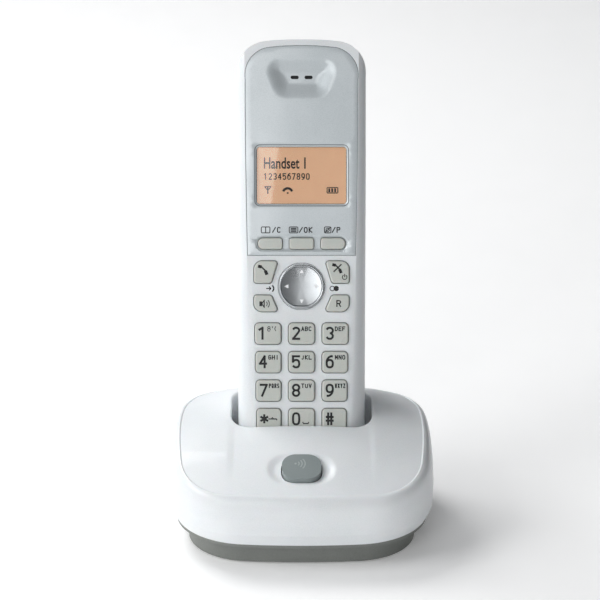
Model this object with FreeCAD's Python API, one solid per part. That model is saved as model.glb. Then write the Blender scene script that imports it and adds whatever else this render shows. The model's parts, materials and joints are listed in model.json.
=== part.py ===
"""Cordless telephone: a handset that leans back in the pocket of a low charging base.

Millimetres, +Z up, the keypad faces -Y. The origin is the centre of the whole object's footprint box
at table level. Base parts are drawn about the base's own centre, and handset parts in the handset's own
frame: X across, Y through the thickness (the face is at -Y), Z along the length from its lower end.
dock() then leans and seats handset parts, and write_parts() moves everything to the origin.
Every piece is a separate solid in its own STEP file.
"""

import FreeCAD
import Part
import math
import os

V = FreeCAD.Vector

# Where the handset stands
LEAN_DEG = 22.5
SEAT = V(0, 8.0, 25.5)  # lower end of the handset's axis, from the base's centre at table level

# Handset
LENGTH = 154.0
HALF_WIDTH = 24.0
FACE = -12.0  # depth of the face plane
PART_PLANE = 0.0  # depth where the front and rear shells meet
WALL = 1.8
RAIL_DEPTH = 6.0
REAR_CORNER = 9.0

# Face panel with the display and the three soft keys
PANEL_LOW, PANEL_HIGH = 73.2, 151.6
PANEL_THICK = 2.0
WINDOW_CENTRE_Z, WINDOW_W, WINDOW_H = 103.1, 33.4, 21.2
SOFT_KEY_Z, SOFT_KEY_PITCH, SOFT_KEY_W, SOFT_KEY_H = 77.7, 11.7, 9.1, 4.1
EAR_Z = 139.7

# Keypad
KEY_W, KEY_H, KEY_CORNER = 9.7, 7.85, 1.5
KEY_PITCH_X, KEY_PITCH_Z, KEY_ROW_1_Z = 12.5, 10.6, 44.2
KEY_TOP = FACE - 0.9
KEY_GAP = 0.3  # round each key in its opening
NAV_Z, NAV_R, NAV_FLAT = 61.8, 8.45, 8.3

# Screws that hold the two shells together
SHELL_SCREWS = ((-13.0, 5.4), (13.0, 5.4), (-15.2, 73.6), (15.2, 73.6))
FRONT_POST_R, REAR_POST_R, FRONT_POST_TOP = 1.6, 3.0, 1.9
SCREW_HEAD_SUNK = 4.35  # seat of each head below the back surface

# Battery bay, cover and cells
CELL_R, CELL_LENGTH = 5.25, 44.5
CELL_LOW_Z, CELL_DEPTH = 31.3, 5.2
BAY_HALF_W, BAY_LOW, BAY_HIGH, BAY_FLOOR = 11.2, 27.6, 79.6, -0.3
COVER_HALF_W, COVER_LOW, COVER_HIGH, COVER_THICK = 17.6, 5.8, 82.0, 1.8
COVER_GAP = 0.4
HEEL_DEPTH = 7.1  # flat back of the lower end, clear of the cover's lower corners as it slides

# Base
BASE_WALL = 2.0
COVER_FOOT_Z = 9.5  # lower edge of the white cover
BASE_LEVELS = (  # height, half width, half depth, corner radius
    (9.5, 47.6, 38.8, 28.0),
    (14.0, 49.0, 40.1, 27.0),
    (20.0, 49.3, 40.4, 26.0),
    (29.0, 48.3, 39.5, 24.0),
    (44.0, 44.6, 36.0, 21.0),
)
SIDE_RADIUS, FRONT_RADIUS = 160.0, 230.0
PLINTH_LEVELS = ((0.6, 42.4, 34.3, 23.0), (8.2, 43.2, 35.1, 23.5))
SHOULDER_HALF_W, SHOULDER_HALF_D, SHOULDER_CORNER = 46.8, 38.0, 27.0
FOOT_X, FOOT_Y, FOOT_R = 29.0, 17.0, 4.0
SCREW_X, SCREW_Y = 34.5, 22.5
BOARD_Z, BOARD_THICK, BOARD_BACK = 6.0, 1.6, 30.8

# Pocket of the base, in the handset's frame
POCKET_HALF_W, POCKET_FRONT, POCKET_BACK, POCKET_CORNER = 26.2, -13.6, 12.8, 7.5
POCKET_FLOOR, POCKET_WALL = -0.35, 1.8
CHARGE_X = 10.0

# Locator button on the base
BUTTON_Y, BUTTON_W, BUTTON_D = -24.2, 14.4, 12.0
DISH_W, DISH_D, DISH_DEPTH = 26.0, 15.0, 0.8

# Sockets in the back wall of the base
POWER_X, LINE_X, SOCKET_FACE_Y = 18.0, -18.0, 37.4
POWER_Z, LINE_Z = 14.2, 14.0
SOCKET_LEDGE_Z = 9.8  # the sockets reach over the edge of the bottom cover above this height


# ---------------------------------------------------------------- drawing helpers


def rounded_outline(corners, radii, place):
    """Closed wire through 2D corners, each rounded by its radius; place maps (a, b) to a point."""
    points = [V(a, b, 0) for a, b in corners]
    spans = []
    for i, corner in enumerate(points):
        to_last = (points[i - 1] - corner).normalize()
        to_next = (points[(i + 1) % len(points)] - corner).normalize()
        half = to_last.getAngle(to_next) / 2
        reach = radii[i] / math.tan(half)
        middle = (to_last + to_next).normalize()
        crest = corner + middle * (radii[i] / math.sin(half) - radii[i])
        spans.append((corner + to_last * reach, crest, corner + to_next * reach))
    spans = [[place(p.x, p.y) for p in span] for span in spans]
    edges = []
    for i, (start, crest, end) in enumerate(spans):
        if radii[i] > 0:
            edges.append(Part.Arc(start, crest, end).toShape())
        following = spans[(i + 1) % len(spans)][0]
        if (following - end).Length > 1e-6:
            edges.append(Part.LineSegment(end, following).toShape())
    return Part.Wire(edges)


def box_outline(width, height, radius, place, centre=(0.0, 0.0)):
    """Rounded rectangle about a centre."""
    a, b = width / 2, height / 2
    corners = [(centre[0] + i * a, centre[1] + j * b) for i, j in ((-1, -1), (1, -1), (1, 1), (-1, 1))]
    return rounded_outline(corners, [radius] * 4, place)


def at_depth(y):
    """Maps a front-view point of the handset to that depth."""
    return lambda a, b: V(a, y, b)


def at_height(z):
    """Maps a plan point to that height."""
    return lambda a, b: V(a, b, z)


def through(outline, depth):
    """Extrudes a front-view outline backwards by depth."""
    return Part.Face(outline).extrude(V(0, depth, 0))


def upwards(outline, height):
    """Extrudes a plan outline up by height."""
    return Part.Face(outline).extrude(V(0, 0, height))


def block(low, high):
    """Box between two corners."""
    return Part.makeBox(high[0] - low[0], high[1] - low[1], high[2] - low[2], V(*low))


def fused(shapes):
    """One solid from touching shapes."""
    return shapes[0].multiFuse(shapes[1:]).removeSplitter()


def mirrored(shape):
    """A shape and its mirror image across X = 0, as separate solids."""
    return Part.makeCompound([shape, shape.mirror(V(0, 0, 0), V(1, 0, 0))])


def disc(radius, front, back, x, z):
    """Cylinder through the handset's thickness."""
    return Part.makeCylinder(radius, back - front, V(x, front, z), V(0, 1, 0))


# ---------------------------------------------------------------- handset outer form


def face_half_width(z):
    """The flat face narrows towards the lower end."""
    return 21.3 - 3.8 * ((LENGTH - z) / LENGTH) ** 2.2 if z < LENGTH else 21.3


def rear_depth(z):
    """The back swells at the battery bay and thins towards both ends."""
    return 14.0 - 5.0 * ((75 - z) / 75) ** 2.5 if z < 75 else 14.0 - 0.0008 * (z - 75) ** 2


def handset_section(z, inset):
    """Cross-section at one station: flat face, curved rails, upright sides, rounded back."""
    face, side = face_half_width(z) - 0.5 * inset, HALF_WIDTH - 0.4 * ((LENGTH - z) / LENGTH) ** 2 - inset
    front, back = FACE + inset, rear_depth(z) - inset
    turn, corner = FACE + RAIL_DEPTH, REAR_CORNER - 0.6 * inset
    crest = ((face + side) / 2 + 0.8, (front + turn) / 2 - 0.8)
    knuckle = corner * (1 - math.sqrt(0.5))

    def point(a, b):
        return V(a, b, z)

    right = [
        Part.Arc(point(face, front), point(*crest), point(side, turn)),
        Part.LineSegment(point(side, turn), point(side, back - corner)),
        Part.Arc(
            point(side, back - corner), point(side - knuckle, back - knuckle), point(side - corner, back)
        ),
    ]
    left = [
        Part.Arc(
            point(corner - side, back), point(knuckle - side, back - knuckle), point(-side, back - corner)
        ),
        Part.LineSegment(point(-side, back - corner), point(-side, turn)),
        Part.Arc(point(-side, turn), point(-crest[0], crest[1]), point(-face, front)),
    ]
    across_face = Part.LineSegment(point(-face, front), point(face, front))
    across_back = Part.LineSegment(point(side - corner, back), point(corner - side, back))
    return Part.Wire([curve.toShape() for curve in [across_face, *right, across_back, *left]])


def handset_front_view(inset):
    """Outline seen from the front, with crowned ends and round corners."""
    side, top, low = HALF_WIDTH - inset, LENGTH - inset, inset

    def point(a, b):
        return V(a, -30, b)

    curves = [
        Part.Arc(point(-side, 8.5), point(-side + 2.6, low + 2.6), point(-14.5, low + 0.5)),
        Part.Arc(point(-14.5, low + 0.5), point(0, low), point(14.5, low + 0.5)),
        Part.Arc(point(14.5, low + 0.5), point(side - 2.6, low + 2.6), point(side, 8.5)),
        Part.LineSegment(point(side, 8.5), point(side, LENGTH - 13.5)),
        Part.Arc(point(side, LENGTH - 13.5), point(side - 3.1, top - 4.4), point(14.5, top - 1.0)),
        Part.Arc(point(14.5, top - 1.0), point(0, top), point(-14.5, top - 1.0)),
        Part.Arc(point(-14.5, top - 1.0), point(3.1 - side, top - 4.4), point(-side, LENGTH - 13.5)),
        Part.LineSegment(point(-side, LENGTH - 13.5), point(-side, 8.5)),
    ]
    return through(Part.Wire([curve.toShape() for curve in curves]), 60)


def handset_side_view(inset):
    """Outline seen from the side, which rounds both ends."""
    front, low, top = FACE - 1 + inset, inset, LENGTH - inset
    corners = [(front, low), (9.3 - inset, low), (18, 32), (18, 108), (9.0 - inset, top), (front, top)]
    outline = rounded_outline(corners, [3.2, 3.4, 20, 20, 6.5, 2.6], lambda a, b: V(-40, a, b))
    return Part.Face(outline).extrude(V(80, 0, 0))


def handset_form(inset=0.0):
    """The handset's outer form, moved in by inset on every side."""
    stations = (-4, 10, 26, 42, 58, 80, 110, 136, 160)
    body = Part.makeLoft([handset_section(z, inset) for z in stations], True, False)
    return body.common(handset_front_view(inset)).common(handset_side_view(inset))


# ---------------------------------------------------------------- keys


def key_corners(name):
    """Front-view corners and corner radii of a key, lower left first, anticlockwise."""
    rows = (("1", "2", "3"), ("4", "5", "6"), ("7", "8", "9"), ("star", "0", "hash"))
    digits = {
        label: (column, row)
        for row, labels in enumerate(rows)
        for column, label in zip((-1, 0, 1), labels)
    }
    if name.startswith("key_"):
        column, row = digits[name[4:]]
        x, z = column * KEY_PITCH_X, KEY_ROW_1_Z - row * KEY_PITCH_Z
        trim = 0.22 * row  # the outer columns follow the narrowing face
        left = x - KEY_W / 2 + (trim if column < 0 else 0)
        right = x + KEY_W / 2 - (trim if column > 0 else 0)
        low, high = z - KEY_H / 2, z + KEY_H / 2
        return [(left, low), (right, low), (right, high), (left, high)], [KEY_CORNER] * 4
    if name.startswith("soft_key"):
        side = {"left": -1, "middle": 0, "right": 1}[name.rsplit("_", 1)[1]]
        x, a, b = side * SOFT_KEY_PITCH, SOFT_KEY_W / 2, SOFT_KEY_H / 2
        end, tight = SOFT_KEY_H / 2 - 0.05, 0.9
        radii = {-1: [end, tight, tight, end], 0: [tight] * 4, 1: [tight, end, end, tight]}[side]
        z = SOFT_KEY_Z
        return [(x - a, z - b), (x + a, z - b), (x + a, z + b), (x - a, z + b)], radii
    outer, high_low, high_top, low_low, low_top = 17.7, 63.0, 71.2, 52.4, 58.5
    left = {
        "talk_key": (
            [(-outer, high_low), (-11.3, high_low), (-8.8, high_top), (-outer, high_top)],
            [1, 1.2, 1, 3],
        ),
        "speaker_key": (
            [(-outer, low_low), (-8.6, low_low), (-11.2, low_top), (-outer, low_top)],
            [3, 1, 1.2, 1],
        ),
    }
    if name in left:
        return left[name]
    corners, radii = left[{"off_key": "talk_key", "recall_key": "speaker_key"}[name]]
    order = (1, 0, 3, 2)
    return [(-corners[i][0], corners[i][1]) for i in order], [radii[i] for i in order]


DIGIT_KEYS = [f"key_{label}" for label in "1 2 3 4 5 6 7 8 9 star 0 hash".split()]
FUNCTION_KEYS = ["talk_key", "off_key", "speaker_key", "recall_key"]
SOFT_KEYS = ["soft_key_left", "soft_key_middle", "soft_key_right"]


def key_outline(name, depth, grow=0.0):
    """Front-view wire of a key at a depth, grown all round."""
    outline = rounded_outline(*key_corners(name), at_depth(depth))
    return outline.makeOffset2D(grow) if grow else outline


def key(name):
    """A moulded key: cap, retaining flange behind the face wall, and plunger."""
    centre = Part.Face(key_outline(name, 0)).CenterOfMass
    soft = name in SOFT_KEYS
    top = FACE - 0.2 if soft else KEY_TOP
    flange_top = FACE + PANEL_THICK + 0.15 if soft else FACE + WALL + 0.1
    grow = 0.35 if soft else 0.55
    cap = through(key_outline(name, top), flange_top + 0.8 - top)
    cap = cap.makeFillet(0.35, [e for e in cap.Edges if abs(e.BoundBox.YMax - top) < 1e-4])
    flange = through(key_outline(name, flange_top, grow), 0.8)
    plunger_low = (centre.x - 1.6, flange_top + 0.4, centre.z - 1.4)
    plunger_high = (centre.x + 1.6, -6.6, centre.z + 1.4)
    plunger = block(plunger_low, plunger_high)
    return fused([cap, flange, plunger])


def flatted_disc(radius, flat, front, back, z=NAV_Z):
    """A disc with a flat at its top and bottom, as the navigator key has."""
    slab = block((-20, front - 1, z - flat), (20, back + 1, z + flat))
    return disc(radius, front, back, 0, z).common(slab)


def nav_key():
    """Four-way rocking key: a low dished cap on a wider skirt, hollow underneath."""
    cap = flatted_disc(NAV_R, NAV_FLAT, FACE - 0.9, -9.2)
    dish = Part.makeSphere(60, V(0, FACE - 0.9 - 59.75, NAV_Z))
    skirt = flatted_disc(NAV_R + 0.8, NAV_FLAT + 0.8, -9.4, -8.9)
    hollow = disc(5.4, -10.6, -8.8, 0, NAV_Z)
    return fused([cap, skirt]).cut(dish).cut(hollow)


def nav_actuator():
    """Rubber actuator under the navigator key: a disc that rocks up and down, with a post for the key."""
    plate = disc(5.0, -8.4, -7.0, 0, NAV_Z)
    post = disc(1.2, -10.45, -8.4, 0, NAV_Z)
    nubs = [disc(0.9, -7.0, -6.75, x, NAV_Z + z) for x, z in ((4, 0), (-4, 0), (0, 4), (0, -4))]
    return fused([plate, post, *nubs])


# ---------------------------------------------------------------- handset shells and face panel


def panel_outline(depth, grow=0.0):
    """The face panel fills the upper face, with crowned top and round upper corners."""
    low_w, mid_w, top_w = (face_half_width(z) - 0.15 for z in (PANEL_LOW, 110, 136))
    top = PANEL_HIGH

    def point(a, b):
        return V(a, depth, b)

    curves = [
        Part.LineSegment(point(-low_w, PANEL_LOW), point(low_w, PANEL_LOW)),
        Part.Arc(point(low_w, PANEL_LOW), point(mid_w, 110), point(top_w, 139)),
        Part.Arc(point(top_w, 139), point(top_w - 2.7, top - 3.9), point(13, top - 0.8)),
        Part.Arc(point(13, top - 0.8), point(0, top), point(-13, top - 0.8)),
        Part.Arc(point(-13, top - 0.8), point(2.7 - top_w, top - 3.9), point(-top_w, 139)),
        Part.Arc(point(-top_w, 139), point(-mid_w, 110), point(-low_w, PANEL_LOW)),
    ]
    outline = Part.Wire([curve.toShape() for curve in curves])
    return outline.makeOffset2D(grow) if grow else outline


def front_shell():
    """White front shell: rails, keypad wall with key openings, ledge for the panel, screw posts."""
    behind = block((-40, PART_PLANE, -20), (40, 40, 200))
    shell = handset_form().cut(handset_form(WALL)).cut(behind)
    ledge = through(panel_outline(FACE + PANEL_THICK + 0.05, 0.9), 1.2)
    ledge = ledge.cut(through(panel_outline(FACE, -1.4), 8))
    bridge = block((-21, FACE + PANEL_THICK + 0.05, 81.5), (21, FACE + PANEL_THICK + 1.25, 83.5))
    inside = handset_form(WALL / 2)
    parts = [shell, ledge.common(inside), bridge.common(inside)]
    for x, z in SHELL_SCREWS:
        parts.append(disc(FRONT_POST_R, FACE + WALL - 0.2, FRONT_POST_TOP, x, z))
    shell = fused(parts).cut(through(panel_outline(FACE - 2), PANEL_THICK + 2.05))
    openings = [through(key_outline(name, FACE - 2, KEY_GAP), 6) for name in DIGIT_KEYS + FUNCTION_KEYS]
    openings.append(flatted_disc(NAV_R + 0.5, NAV_FLAT + 0.5, FACE - 2, -9.5))
    openings.append(block((-1.2, FACE - 2, 4.2), (1.2, -9.0, 5.2)))  # microphone slot
    openings += [disc(0.95, -6.0, 4.0, x, z) for x, z in SHELL_SCREWS]  # pilot holes
    return shell.cut(Part.makeCompound(openings))


def rear_shell():
    """White rear shell: battery bay, recess for the sliding cover, grille slots, screw posts."""
    ahead = block((-40, -40, -20), (40, PART_PLANE, 200))
    shell = handset_form().cut(handset_form(WALL)).cut(ahead)
    half, high = COVER_HALF_W + COVER_GAP, COVER_HIGH + COVER_GAP
    recess = block((-half, 2.0, COVER_LOW - 0.5), (half, 30, high)).cut(handset_form(COVER_THICK + 0.35))
    heel = block((-half, HEEL_DEPTH, -1), (half, 30, COVER_LOW))
    frame = block((-half - 1.5, 2.0, 1.0), (half + 1.5, 30, high + 1.5))
    frame = frame.common(handset_form(1.0)).cut(handset_form(COVER_THICK + 2.0))
    tray_half = BAY_HALF_W + 1.2
    tray = block((-tray_half, BAY_FLOOR - 1.2, BAY_LOW - 1.2), (tray_half, 30, BAY_HIGH + 1.2))
    posts = [disc(REAR_POST_R, FRONT_POST_TOP + 0.1, 30, x, z) for x, z in SHELL_SCREWS]
    inner = handset_form(1.0)
    shell = fused([shell, frame, tray.common(inner), *[post.common(inner) for post in posts]])
    shell = shell.cut(recess).cut(heel)
    bay = block((-BAY_HALF_W, BAY_FLOOR, BAY_LOW), (BAY_HALF_W, 30, BAY_HIGH))
    cuts = [bay]
    for x in (-10.0, 10.0):
        cuts.append(block((x - 2.6, 2.0, 74.0), (x + 2.6, 30, 86.0)).cut(front_of_tabs()))
    for row in range(4):
        outline = box_outline(14 - 3 * abs(row - 1.5), 1.2, 0.55, at_depth(5), (0, 113.5 + 3 * row))
        cuts.append(through(outline, 20))
    for x, z in SHELL_SCREWS:
        cuts.append(disc(1.25, 0, 30, x, z))
        cuts.append(disc(2.3, rear_depth(z) - SCREW_HEAD_SUNK - 0.05, 30, x, z))
    for x in (-CHARGE_X, CHARGE_X):
        cuts.append(block((x - 1.7, 0.3, -1), (x + 1.7, 5.3, 1.0)))
    return shell.cut(Part.makeCompound(cuts))


def front_of_tabs():
    """Keeps the outer wall above the cover whole where the cover's tabs reach under it."""
    return block((-40, rear_depth(COVER_HIGH) - COVER_THICK, COVER_HIGH + COVER_GAP), (40, 40, 120))


def battery_cover():
    """Sliding cover that follows the back, with two tabs that hook under the shell."""
    outline = box_outline(
        2 * COVER_HALF_W, COVER_HIGH - COVER_LOW, 1.0, at_depth(2.2), (0, (COVER_LOW + COVER_HIGH) / 2)
    )
    cover = through(outline, 30).common(handset_form()).cut(handset_form(COVER_THICK))
    ridges = Part.makeCompound(
        [block((-6, rear_depth(z) - 0.5, z), (6, 40, z + 0.8)) for z in (66.0, 68.4, 70.8, 73.2)]
    )
    cover = cover.cut(ridges.cut(handset_form(0.5)))
    back = rear_depth(COVER_HIGH)
    tabs = []
    for x in (-10.0, 10.0):
        root = block((x - 2.1, back - 3.2, COVER_HIGH - 2.2), (x + 2.1, back - 1.6, COVER_HIGH - 0.2))
        hook = block((x - 2.1, back - 3.2, COVER_HIGH - 2.2), (x + 2.1, back - 2.2, COVER_HIGH + 2.4))
        tabs += [root, hook]
    return fused([cover, *tabs])


def face_panel():
    """Silver panel with the display window, the earpiece hollow and the soft key trough."""
    panel = through(panel_outline(FACE, -0.1), PANEL_THICK)
    window = through(box_outline(WINDOW_W, WINDOW_H, 1.2, at_depth(FACE - 1), (0, WINDOW_CENTRE_Z)), 4)
    trough = through(box_outline(34.2, 5.9, 2.9, at_depth(FACE - 1), (0, SOFT_KEY_Z)), 1.6)
    hollow_corners = [(-6.9, 132.2), (6.9, 132.2), (14.0, 145.4), (-14.0, 145.4)]
    hollow = through(rounded_outline(hollow_corners, [3.5, 3.5, 3.2, 3.2], at_depth(FACE - 1)), 2.1)
    slots = [
        through(box_outline(3.0, 1.3, 0.6, at_depth(FACE - 1), (x, EAR_Z)), 5) for x in (-2.6, 2.6)
    ]
    keys = [through(key_outline(name, FACE - 1, 0.25), 5) for name in SOFT_KEYS]
    return panel.cut(Part.makeCompound([window, trough, hollow])).cut(Part.makeCompound([*slots, *keys]))


# ---------------------------------------------------------------- inside the handset


def display_lens():
    """Clear lens in the panel's window."""
    outline = box_outline(WINDOW_W - 0.2, WINDOW_H - 0.2, 1.1, at_depth(FACE + 0.25), (0, WINDOW_CENTRE_Z))
    return through(outline, 1.2)


def lcd_module():
    """Liquid crystal cell in a plastic frame, behind the lens."""
    frame = through(box_outline(37.6, 26.0, 0.8, at_depth(-9.9), (0, WINDOW_CENTRE_Z)), 2.3)
    return frame.common(handset_form(WALL + 0.2))


def lcd_backlight():
    """Light guide between the display and the circuit board, with a tail for its lamp."""
    guide = through(box_outline(34.0, 23.0, 0.5, at_depth(-7.5), (0, WINDOW_CENTRE_Z)), 1.6)
    tail = block((-6, -7.5, 88.0), (6, -5.9, 92.0))
    return fused([guide, tail])


def earpiece_speaker():
    """Round receiver capsule behind the earpiece slots."""
    return fused([disc(8.5, -9.2, -6.4, 0, EAR_Z), disc(5.2, -6.4, -4.6, 0, EAR_Z)])


def earpiece_gasket():
    """Foam ring between the receiver and the panel."""
    return disc(8.4, -9.95, -9.25, 0, EAR_Z).cut(disc(6.4, -11, -9, 0, EAR_Z))


def handset_circuit_board():
    """Main board, notched round the screw posts."""
    outline = rounded_outline(
        [(-17.4, 7.5), (17.4, 7.5), (19.4, 100), (19.4, 145), (-19.4, 145), (-19.4, 100)],
        [2, 2, 20, 6, 6, 20],
        at_depth(-4.0),
    )
    board = through(outline, 1.0)
    notches = [disc(FRONT_POST_R + 0.3, -5, 0, x, z) for x, z in SHELL_SCREWS]
    notches.append(disc(5.6, -5, 0, 0, EAR_Z))
    return board.cut(Part.makeCompound(notches))


def keypad_mat():
    """Silicone mat with a low dome under every key."""
    sheet = through(box_outline(35.0, 66.0, 2, at_depth(-4.9), (0, 41.5)), 0.8)
    soft_sheet = through(box_outline(35.0, 7.0, 2, at_depth(-4.9), (0, SOFT_KEY_Z)), 0.8)
    domes = []
    for name in DIGIT_KEYS + FUNCTION_KEYS + SOFT_KEYS:
        centre = Part.Face(key_outline(name, 0)).CenterOfMass
        domes.append(Part.makeCone(1.5, 2.6, 1.0, V(centre.x, -5.7, centre.z), V(0, 1, 0)))
    for x, z in ((4, 0), (-4, 0), (0, 4), (0, -4)):
        domes.append(Part.makeCone(0.9, 1.5, 1.2, V(x, -5.9, NAV_Z + z), V(0, 1, 0)))
    mat = fused([sheet, soft_sheet, *domes])
    return mat.cut(Part.makeCompound([disc(FRONT_POST_R + 0.3, -6, 0, x, z) for x, z in SHELL_SCREWS]))


def microphone():
    """Electret capsule behind the slot at the lower end."""
    return disc(2.4, -9.6, -7.2, 0, 4.9)


def loudspeaker():
    """Hands-free speaker facing the grille in the rear shell."""
    back = rear_depth(128) - WALL - 0.3
    return fused([disc(10.0, back - 2.2, back, 0, 118), disc(6.5, back - 5.2, back - 2.2, 0, 118)])


def shield_can():
    """Tinned steel can over the radio circuit, on the back of the board."""
    outline = box_outline(24, 16, 0.6, at_depth(-2.98), (0, 95))
    return through(outline, 2.4)


def handset_antenna():
    """Bent metal aerial at the upper end of the board."""
    foot = block((-15, -2.95, 131.0), (-13.5, 0.5, 133.0))
    arm = block((-15, 0.1, 131.0), (-14.2, 0.5, 143.5))
    top = block((-15, 0.1, 142.3), (-2, 0.5, 143.5))
    return fused([foot, arm, top])


def battery_cell(side):
    """AAA rechargeable cell with its positive cap; the two cells lie opposite ways."""
    x = side * 5.45
    body = Part.makeCylinder(CELL_R, CELL_LENGTH - 1.0, V(x, CELL_DEPTH, CELL_LOW_Z), V(0, 0, 1))
    cap = Part.makeCylinder(1.9, 1.0, V(x, CELL_DEPTH, CELL_LOW_Z + CELL_LENGTH - 1.0), V(0, 0, 1))
    cell = fused([body, cap])
    if side > 0:
        middle = V(x, CELL_DEPTH, CELL_LOW_Z + CELL_LENGTH / 2)
        cell.rotate(middle, V(0, 1, 0), 180)
    return cell


def battery_springs():
    """Coiled contact for each cell's flat end, on a metal tab."""
    springs = []
    for side in (-1, 1):
        x = side * 5.45
        low = side < 0
        tab_z = BAY_LOW + 0.1 if low else BAY_HIGH - 0.6
        tab = block((x - 4, CELL_DEPTH - 4, tab_z), (x + 4, CELL_DEPTH + 4, tab_z + 0.5))
        start = tab_z + 0.4 if low else tab_z + 0.1
        length = CELL_LOW_Z - 0.5 - start if low else start - (CELL_LOW_Z + CELL_LENGTH + 0.5)
        helix = Part.makeHelix(length / 3, length, 3.0, 0)
        ring = Part.Wire(Part.makeCircle(0.3, V(3.0, 0, 0), V(0, 1, 0)))
        coil = Part.Wire(helix).makePipeShell([ring], True, True)
        if not low:
            coil.rotate(V(0, 0, 0), V(1, 0, 0), 180)
        coil.translate(V(x, CELL_DEPTH, start))
        springs.append(tab.fuse(coil))
    return Part.makeCompound(springs)


def battery_plates():
    """Flat contact for each cell's positive cap."""
    plates = []
    for side in (-1, 1):
        x = side * 5.45
        z = BAY_HIGH - 0.6 if side < 0 else BAY_LOW + 0.1
        plate = block((x - 4, CELL_DEPTH - 4, z), (x + 4, CELL_DEPTH + 4, z + 0.5))
        reach = CELL_LOW_Z + CELL_LENGTH + 0.1 if side < 0 else CELL_LOW_Z - 0.1
        low, high = sorted((reach, z + 0.25))
        stud = block((x - 1.5, CELL_DEPTH - 1.5, low), (x + 1.5, CELL_DEPTH + 1.5, high))
        plates.append(plate.fuse(stud))
    return Part.makeCompound(plates)


def handset_charge_plates():
    """Two metal plates let into the lower end."""
    return mirrored(block((CHARGE_X - 1.5, 0.5, 0.3), (CHARGE_X + 1.5, 5.1, 0.95)))


def handset_screws():
    """Self-tapping screws that clamp the rear shell to the front posts."""
    screws = []
    for x, z in SHELL_SCREWS:
        seat = rear_depth(z) - SCREW_HEAD_SUNK
        top = seat + 1.4
        head = disc(2.1, seat, top, x, z)
        slot = block((x - 1.5, top - 0.6, z - 0.25), (x + 1.5, top + 1, z + 0.25))
        shank = disc(0.9, -5.0, seat, x, z)
        screws.append(fused([head, shank]).cut(slot))
    return Part.makeCompound(screws)


# ---------------------------------------------------------------- base


def bulged_outline(half_w, half_d, corner, z, side_r=SIDE_RADIUS, front_r=FRONT_RADIUS):
    """Plan outline of four shallow arcs joined by four tangent corner arcs."""
    side_centre, front_centre = V(half_w - side_r, 0, 0), V(0, half_d - front_r, 0)
    span = front_centre - side_centre
    reach_side, reach_front = side_r - corner, front_r - corner
    along = (reach_side**2 - reach_front**2 + span.Length**2) / (2 * span.Length)
    across = math.sqrt(reach_side**2 - along**2)
    unit = V(span).normalize()
    centre = side_centre + unit * along + V(-unit.y, unit.x, 0) * across
    if centre.y < 0:
        centre = side_centre + unit * along - V(-unit.y, unit.x, 0) * across
    to_side = (centre - side_centre).normalize()
    to_front = (centre - front_centre).normalize()
    low, high = centre + to_side * corner, centre + to_front * corner
    crest = centre + (to_side + to_front).normalize() * corner

    def point(p, i, j):
        return V(i * p.x, j * p.y, z)

    east, north = V(half_w, 0, 0), V(0, half_d, 0)
    curves = [
        Part.Arc(point(low, 1, -1), point(east, 1, 1), point(low, 1, 1)),
        Part.Arc(point(low, 1, 1), point(crest, 1, 1), point(high, 1, 1)),
        Part.Arc(point(high, 1, 1), point(north, 1, 1), point(high, -1, 1)),
        Part.Arc(point(high, -1, 1), point(crest, -1, 1), point(low, -1, 1)),
        Part.Arc(point(low, -1, 1), point(east, -1, 1), point(low, -1, -1)),
        Part.Arc(point(low, -1, -1), point(crest, -1, -1), point(high, -1, -1)),
        Part.Arc(point(high, -1, -1), point(north, 1, -1), point(high, 1, -1)),
        Part.Arc(point(high, 1, -1), point(crest, 1, -1), point(low, 1, -1)),
    ]
    return Part.Wire([curve.toShape() for curve in curves])


def top_height(x, y):
    """Height of the base's top: steep in front, level behind, slightly crowned across."""
    return 28.6 + 0.2989 * (y + 36.8) - 0.003476 * (y + 36.8) * y - 0.0012 * x * x


def base_side_view(x, inset, floor):
    """Side outline of the base at one distance across."""

    def point(y, z):
        return V(x, y, z)

    front, knee, back = -46.0, -8.0, 30.0
    drop = top_height(x, 0) - top_height(0, 0) - inset
    rear = 46.0
    curves = [
        Part.Arc(
            point(front, top_height(x, front) - inset),
            point(knee, top_height(x, knee) - inset),
            point(back, top_height(x, back) - inset),
        ),
        Part.Arc(
            point(back, top_height(x, back) - inset),
            point(37.0 - 0.8 * inset, 37.6 + drop + 0.2 * inset),
            point(40.0 - inset, 31.0 + drop),
        ),
        Part.LineSegment(point(40.0 - inset, 31.0 + drop), point(rear, 24.0 + drop)),
        Part.LineSegment(point(rear, 24.0 + drop), point(rear, floor)),
        Part.LineSegment(point(rear, floor), point(front, floor)),
        Part.LineSegment(point(front, floor), point(front, top_height(x, front) - inset)),
    ]
    return Part.Wire([curve.toShape() for curve in curves])


def base_form(inset=0.0, floor=COVER_FOOT_Z):
    """Outer form of the white cover, moved in by inset, down to floor."""
    levels = [bulged_outline(w - inset, d - inset, r - inset, z) for z, w, d, r in BASE_LEVELS]
    body = Part.makeLoft(levels, True, False)
    view = Part.makeLoft([base_side_view(x, inset, floor - 1) for x in (-52, 0, 52)], True, False)
    return body.common(view)


def pocket(grow, low, high):
    """The leaning pocket for the handset, as a rounded prism in the handset's frame."""
    width = 2 * (POCKET_HALF_W + grow)
    depth = POCKET_BACK - POCKET_FRONT + 2 * grow
    outline = box_outline(
        width, depth, POCKET_CORNER + grow, at_height(low), (0, (POCKET_FRONT + POCKET_BACK) / 2)
    )
    return dock(upwards(outline, high - low))


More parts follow.
